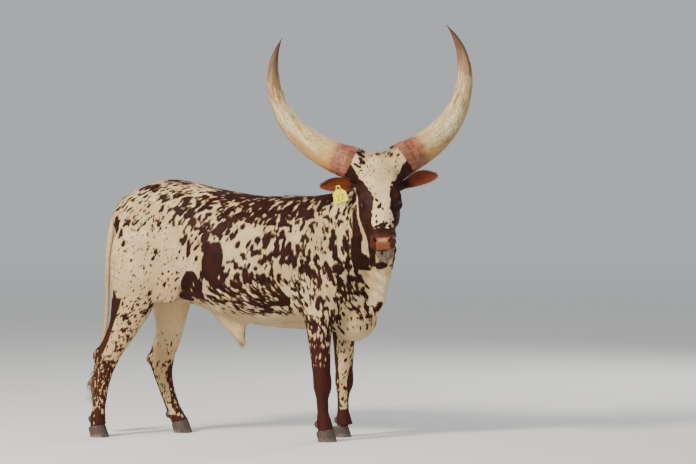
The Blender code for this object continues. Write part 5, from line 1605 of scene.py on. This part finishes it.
def horn_material():
    """Cream horn with fibres, a red-brown band at the root, an amber lower edge that is painted shade, and a
    dark tip.
    """
    material, g = new_material("horn")
    grain = g.stored("grain")
    share, low, _ = g.parts(g.stored("horn"))
    fibres = g.noise(g.scaled(grain, (1, 1, 0.5)), 95, 5, 0.62)
    blotch = g.noise(grain, 16, 4, 0.6)
    cream = g.mix(g.step(blotch, 0.35, 0.68), *HORN_CREAM)
    cream = g.tint(g.step(fibres, 0.46, 0.70), 0.75, cream, HORN_FIBRE)
    even = g.scaled(grain, (1, 1, 2.9))
    lumps = g.noise(even, 105, 4, 0.7)
    cream = g.tint(g.step(lumps, 0.46, 0.60), 0.65, cream, HORN_LUMP)
    freckle = g.step(g.noise(grain, 170, 3, 0.7), 0.54, 0.66)
    cream = g.tint(freckle, 0.55, cream, HORN_FRECKLE)
    # Amber on the lower side: painted shade from the light above
    amber = g.step(g.plus(low, g.times(blotch, 0.8)), 0.40, 1.15)
    cream = g.tint(amber, 0.85, cream, HORN_AMBER_PAINTED_SHADE)
    wavy = g.plus(share, g.about_zero(blotch, 0.09))
    patchy = g.plus(wavy, g.about_zero(lumps, 0.16))
    ochre = g.times(g.step(patchy, 0.30, 0.10), 0.5)
    cream = g.mix(ochre, cream, HORN_OCHRE)
    band = g.step(patchy, 0.135, 0.070)
    red = g.mix(g.blotch(grain, 60, 4, 0.35, 0.7), *HORN_RED)
    rings = g.noise(g.scaled(grain, (0.3, 0.3, 4.0)), 60, 3)
    red = g.tint(g.step(rings, 0.5, 0.7), 0.45, red, HORN_PINK)
    colour = g.tint(band, 0.9, cream, red)
    streaky = g.plus(wavy, g.about_zero(fibres, 0.55))
    tan = g.times(g.step(streaky, 0.52, 0.80), 0.75)
    colour = g.mix(tan, colour, HORN_TAN)
    coarse = g.noise(g.scaled(grain, (1, 1, 0.6)), 42, 4, 0.6)
    brown = g.step(g.plus(coarse, g.times(share, 0.45)), 0.74, 0.90)
    colour = g.tint(brown, 0.75, colour, HORN_BROWN)
    grey = g.times(g.step(share, 0.66, 0.80), g.blotch(grain, 20, 3, 0.47, 0.56))
    colour = g.tint(grey, 0.65, colour, HORN_GREY)
    tip = g.step(g.plus(wavy, g.times(fibres, 0.16)), 0.82, 1.04)
    colour = g.tint(tip, 0.9, colour, HORN_TIP)
    spots = g.step(g.cells(grain, 30), 0.12, 0.07)
    colour = g.tint(spots, 0.6, colour, HORN_SPOT)
    g.dress(colour, g.step(fibres, 0.3, 0.7, 0.50, 0.70), g.bump(fibres, 0.5, 0.003))
    g.fix(Specular_IOR_Level=0.35)
    return material


# Hooves: where each foot stands, and the shape of its claws
CORONET_HEIGHT = 0.060
CORONET_SLOPE = 0.30
CLAW_LENGTH = 0.048
CLAW_WIDTH = 0.046
CLAW_INNER = 0.0135
CLAW_AROUND, CLAW_LEVELS = 48, 22
FEET = {
    "front_right": (0.517, -0.150), "front_left": (0.517, 0.150),
    "hind_right": (-0.741, -0.187), "hind_left": (-0.391, 0.187),
}


def make_claw(leg, side, material):
    """One claw of a cloven hoof, with rings of growth and a worn toe, its top hidden in the leg."""
    foot_x, foot_y = FEET[leg]
    flip = (1 if foot_y < 0 else -1) * (1 if side == "inner" else -1)
    levels = CLAW_LEVELS
    angles = np.linspace(0, 2 * math.pi, CLAW_AROUND, endpoint=False)
    rings = []
    for level in range(-1, levels + 3):
        share = min(max(level, 0) / levels, 1.0)
        extra = max(0, level - levels)
        grow = 1.0 - 0.13 * share - 0.05 * extra - 0.004
        grow -= 0.035 if level < 0 else 0.0
        grow += 0.004 * math.sin(share * 38) * (0.3 + 0.7 * share)
        shift = 0.006 - 0.018 * share
        along = np.sign(np.cos(angles)) * abs(np.cos(angles)) ** 0.9
        across = np.sin(angles)
        across = np.where(across < 0, across * 0.30, across)
        x = foot_x + shift + along * CLAW_LENGTH * grow
        toe = np.maximum(0.0, along) ** 2 * 0.16
        y = foot_y + flip * (CLAW_INNER + across * (CLAW_WIDTH - CLAW_INNER) * grow * (1 - toe))
        top = CORONET_HEIGHT + CORONET_SLOPE * (x - foot_x)
        z = share * top + extra * 0.004 + 0.0012 * (level == 0)
        rings.append(np.stack((x, y, z), 1) + SHIFT)
    mesh = loft_mesh(f"{leg}_{side}_horn", rings)
    return add_object(f"{leg}_{side}_claw", mesh, material)


def hoof_material():
    """Dark horn with growth rings and pale dust low down."""
    material, g = new_material("hoof")
    place = g.place()
    _, _, high = g.parts(place)
    streaks = g.noise(g.scaled(place, (1, 1, 0.12)), 260, 4)
    rings = g.noise(g.scaled(place, (0.15, 0.15, 1)), 330, 3)
    colour = g.mix(g.step(streaks, 0.35, 0.7), *HOOF_HORN)
    dust = g.times(g.step(high, 0.030, 0.0), g.blotch(place, 45, 4, 0.35, 0.65))
    colour = g.tint(dust, 0.55, colour, HOOF_DUST)
    g.dress(colour, g.step(streaks, 0.3, 0.7, 0.42, 0.62), g.bump(g.plus(rings, streaks), 0.5, 0.0015))
    return material


# The tail's brush
def ribbon(rows, run_side):
    """Rings of a flat lock along its middle line: a row holds a point, half width and half thickness."""
    rings = []
    centres = np.array([row[0] for row in rows])
    runs = unit(np.gradient(centres, axis=0))
    for (centre, half, thick), run in zip(rows, runs):
        side = unit(run_side - run * (run_side @ run))
        out = np.cross(run, side)
        across, up = side * half, out * thick
        rings.append(np.stack((centre + across, centre + up, centre - across, centre - up)))
    return rings


def make_brush(material):
    """The brown, wavy brush at the tail's end, as many thin locks that hang, spread and trail."""
    dice = np.random.default_rng(31)
    top = np.array((SWITCH_X, 0.0, SWITCH_TOP)) + SHIFT
    points, faces, roots = [], [], []
    steps = BRUSH_STEPS
    for _ in range(BRUSH_LOCKS):
        level = dice.random() ** 1.3
        angle = dice.random() * 2 * math.pi
        outward = np.array((math.cos(angle), math.sin(angle), 0.0))
        across = np.cross(UP, outward)
        start = top + outward * (0.0075 * (1 - 0.4 * level)) - UP * (0.135 * level - 0.012)
        length = min((0.17 + 0.10 * dice.random()) * (1 - 0.25 * level), start[2] - BRUSH_FLOOR)
        flare = 0.014 + 0.022 * dice.random()
        wave, phase = 0.006 + 0.006 * dice.random(), dice.random() * 6.28
        half = 0.0024 + 0.0022 * dice.random()
        stray = dice.random() < BRUSH_STRAY
        sweep = 0.046 + 0.024 * dice.random() if stray else 0.022
        if stray:
            wave *= 2.1
            half *= 1.5
            length *= 0.80 + 0.24 * dice.random()
        trail = 2.6 if stray else 1.3
        rows = []
        for step in range(steps + 1):
            share = step / steps
            centre = start - UP * (length * share) + outward * (flare * math.sin(math.pi * 0.75 * share))
            centre = centre + across * (wave * math.sin(share * 9 + phase) * share)
            centre = centre + outward * (wave * 0.6 * math.cos(share * 8 + phase) * share)
            centre[0] -= sweep * share**trail
            taper = (0.65 + 0.9 * share) * (1 - share**2.2) + 0.03
            rows.append((centre, half * taper, max(half * 0.28 * taper, BRUSH_THINNEST)))
        rings = ribbon(rows, across)
        first = sum(len(ring) for ring in points)
        points += rings
        for level_up in range(steps):
            low, high = first + 4 * level_up, first + 4 * level_up + 4
            faces += [(low + k, low + (k + 1) % 4, high + (k + 1) % 4, high + k) for k in range(4)]
        faces += [(first + 3, first + 2, first + 1, first), tuple(first + 4 * steps + k for k in range(4))]
        roots += [dice.random()] * (4 * (steps + 1))
    mesh = mesh_of("tail_brush", np.vstack(points), np.array(faces))
    place = points_of(mesh)
    add_vectors(mesh, "strand", np.stack((np.array(roots), (top[2] - place[:, 2]) / 0.3, np.array(roots)), 1))
    return add_object("tail_brush", mesh, material)


def brush_material():
    """Dark brown hair that fades to sandy brown at its ends."""
    material, g = new_material("brush")
    strand, far, _ = g.parts(g.stored("strand"))
    place = g.place()
    shade = g.mix(strand, *STRAND)
    shade = g.tint(g.step(far, 0.3, 0.95), 0.7, shade, STRAND_END)
    fine = g.noise(g.scaled(place, (1, 1, 0.06)), 900, 3)
    colour = g.mix(0.5, shade, g.mix(fine, *STRAND_GRAIN), "MULTIPLY")
    g.dress(colour, 0.5, g.bump(fine, 0.5, 0.001))
    return material


# Eyes
def make_eye(name, flip, material):
    """An eyeball with a bulging cornea, and numbers for its iris and level pupil."""
    centre, gaze, slit, upper = eye_frame(flip)
    rings, data = [], []
    angles = np.linspace(0, 2 * math.pi, EYE_AROUND, endpoint=False)
    for k in range(EYE_ROWS + 1):
        turn = math.pi * (0.004 + 0.992 * k / EYE_ROWS)
        radius = EYE_RADIUS * 0.995 + 0.0009 * math.exp(-((turn / 0.50) ** 2))
        reach, high = radius * math.sin(turn), radius * math.cos(turn)
        a, b = np.cos(angles) * reach, np.sin(angles) * reach
        rings.append(centre + gaze * high + slit * a[:, None] + upper * b[:, None])
        data.append(np.stack((a, b, np.full(EYE_AROUND, high)), 1))
    mesh = loft_mesh(name, rings)
    add_vectors(mesh, "ball", np.vstack(data))
    return add_object(name, mesh, material)


def eye_material():
    """A wet, dark brown eye with a wide pupil and a brown-white rim."""
    material, g = new_material("eye")
    ball = g.stored("ball")
    a, b, _ = g.parts(ball)
    wide = g.math("POWER", g.math("DIVIDE", a, 0.0074), 2.0)
    tall = g.math("POWER", g.math("DIVIDE", b, 0.0040), 2.0)
    pupil = g.step(g.plus(wide, tall), 1.15, 0.85)
    iris = g.step(g.length(a, b), 0.0150, 0.0138)
    rays = g.noise(ball, 500, 3)
    brown = g.mix(rays, *IRIS)
    colour = g.mix(iris, EYE_RIM, brown)
    colour = g.mix(pupil, colour, PUPIL)
    g.dress(colour, 0.06)
    g.fix(Coat_Weight=1.0, Coat_Roughness=0.02)
    return material


# The build
SKIN_MATERIAL = coat_material()
skin = make_skin()
skin_points, skin_normals = points_of(skin.data), normals_of(skin.data)
markings = Markings(skin_points, skin_normals)
store_marks(skin.data, skin_points, markings.at(skin_points, skin_normals))
recolour(skin.data, SKIN_MATERIAL)
skin.data.polygons.foreach_set("use_smooth", np.ones(len(skin.data.polygons), bool))
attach(skin, "root")
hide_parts(*FLESH, "ear_left", "ear_right")
for piece in make_coat(skin, markings, SKIN_MATERIAL):
    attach(piece, "root")

hair_dice = np.random.default_rng(77)
long_hair = {
    "hair_ears": ear_hair(1, hair_dice) + ear_hair(-1, hair_dice),
    "lashes": lashes(1, hair_dice) + lashes(-1, hair_dice),
    "hair_crest": crest_hair(skin_points, skin_normals, hair_dice),
}
for name, rows in long_hair.items():
    piece = make_hair(name, rows, markings, SKIN_MATERIAL)
    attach(piece, "root")

HORN = horn_material()
for name, flip in (("left", 1), ("right", -1)):
    horn = make_horn(name, flip, HORN)
    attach(horn, "root")
    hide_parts(f"horn_{name}")
HOOF = hoof_material()
for leg in LEGS:
    for side in ("inner", "outer"):
        claw = make_claw(leg, side, HOOF)
        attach(claw, "root")
        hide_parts(f"{leg}_{side}_hoof")
        recolour(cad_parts[f"{leg}_{side}_dewclaw"].data, HOOF)
EYE = eye_material()
for name, flip in (("left", 1), ("right", -1)):
    eye = make_eye(f"eyeball_{name}", flip, EYE)
    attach(eye, "root")
    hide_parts(f"eye_{name}")

brush = make_brush(brush_material())
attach(brush, "root")
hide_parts("tail_switch")


# The ear tag
def tag_axes():
    """The tag's face: its stud's place, then wide, down and outward."""
    _, _, across, opens = ear_base(-1)
    down = unit(FACING * 0.03 - HEAD_UP * 0.985 + SIDE * 0.17)
    outward = np.cross(SIDE, down)
    outward = unit(outward if outward @ FACING > 0 else -outward)
    stud = ear_middle(-1, 0.5, 0.5) - across * 0.016 - opens * 0.0107
    return stud + opens * 0.0085, unit(np.cross(down, outward)), down, outward


def tag_material():
    """Yellow plastic, a little mottled and scuffed."""
    material, g = new_material("tag")
    place = g.place()
    worn = g.blotch(place, 70, 4, 0.45, 0.75)
    colour = g.mix(worn, *TAG_YELLOW)
    g.dress(colour, g.step(worn, 0.0, 1.0, 0.32, 0.55), g.bump(g.noise(place, 160, 3), 0.2, 0.0006))
    return material


def ink_material(name, first, second):
    """A dark plastic or ink with a faint grain between two tones."""
    material, g = new_material(name)
    grain = g.noise(g.place(), 300, 3)
    g.dress(g.mix(grain, first, second), g.step(grain, 0.3, 0.7, 0.35, 0.6))
    return material


# The number on the tag: its figures, their size, and its place down the tag and off its face
TAG_FIGURES = "27"
FIGURE_SIZE = 0.044
FIGURE_DROP = 0.070
FIGURE_LIFT = 0.0021


def make_tag_number(material):
    """A plain two-figure number, raised a little on the tag."""
    place, wide, down, outward = tag_axes()
    data = bpy.data.curves.new("tag_number", "FONT")
    data.body = TAG_FIGURES
    data.size = FIGURE_SIZE
    data.align_x = "CENTER"
    data.extrude = 0.0003
    data.offset = -0.0006
    helper = linked("number_helper", data)
    mesh = shown_mesh(helper)
    bpy.data.objects.remove(helper)
    points = points_of(mesh)
    right = wide if wide @ SIDE > 0 else -wide
    corner = place + down * FIGURE_DROP + outward * FIGURE_LIFT
    moved = corner + right * points[:, :1] - down * points[:, 1:2] + outward * points[:, 2:]
    set_points(mesh, moved)
    recolour(mesh, material)
    return linked("tag_number", mesh)


TAG = tag_material()
INK = ink_material("ink", *INK_BLACK)
number = make_tag_number(INK)
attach(number, "root")
for node, finish in (("ear_tag", TAG), ("ear_tag_stud", INK)):
    recolour(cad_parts[node].data, finish)


# Floor, light and camera
LIGHT_AIM = (0, 0, 0.9)
LIGHTS = [
    ("key", (-3.4, -6.0, 5.4), 1.5, 1150, (1.0, 0.93, 0.82)),
    ("fill", (5.0, -5.0, 2.6), 3.5, 70, (0.92, 0.96, 1.0)),
    ("back", (2.0, 5.5, 4.0), 3.0, 220, (1.0, 0.98, 0.95)),
]


def area_light(name, place, size, power, colour):
    """A soft square light that points at the animal's middle."""
    data = bpy.data.lights.new(name, "AREA")
    data.shape = "SQUARE"
    data.size = size
    data.energy = power
    data.color = colour
    light = linked(name, data)
    light.location = place
    light.rotation_euler = (Vector(LIGHT_AIM) - Vector(place)).to_track_quat("-Z", "Y").to_euler()


def make_stage():
    """A plain pale floor."""
    mesh = bpy.data.meshes.new("floor")
    far = FLOOR_REACH
    mesh.from_pydata([(-far, -far, 0), (far, -far, 0), (far, far, 0), (-far, far, 0)], [], [(0, 1, 2, 3)])
    material, g = new_material("floor")
    place = g.place()
    pale = g.mix(g.noise(place, 3, 3), *FLOOR_PALE)
    x, y, _ = g.parts(place)
    fade = g.step(g.length(x, y), 5.0, 26.0)
    g.dress(g.mix(fade, pale, BLACK), 0.9)
    g.put(g.shader.inputs["Emission Color"], g.mix(fade, BLACK, HORIZON))
    g.fix(Emission_Strength=SKY_STRENGTH, Specular_IOR_Level=0.0)
    floor = add_object("floor", mesh, material)


def make_world():
    """A pale surrounding light that meets the floor's far edge in the same tone."""
    world = bpy.data.worlds.new("studio")
    world.use_nodes = True
    g = Graph(world.node_tree)
    _, _, high = g.parts(g.place("Generated"))
    sky = g.mix(g.step(high, 0.0, 0.35), HORIZON, SKY)
    back = world.node_tree.nodes["Background"]
    g.put(back.inputs[0], sky)
    back.inputs[1].default_value = SKY_STRENGTH
    bpy.context.scene.world = world


def make_camera():
    """The camera at the photograph's angle and distance."""
    data = bpy.data.cameras.new("camera")
    data.sensor_width = SENSOR_WIDTH
    data.lens = SENSOR_WIDTH * VIEW_DISTANCE / VIEW_WIDTH
    camera = linked("camera", data)
    look = Vector((-math.sin(VIEW_TURN), math.cos(VIEW_TURN), -math.tan(VIEW_RISE))).normalized()
    camera.location = Vector(VIEW_CENTRE) - look * VIEW_DISTANCE
    camera.rotation_euler = look.to_track_quat("-Z", "Y").to_euler()
    data.clip_end = 200
    bpy.context.scene.camera = camera


make_stage()
make_camera()
make_world()
for row in LIGHTS:
    area_light(*row)
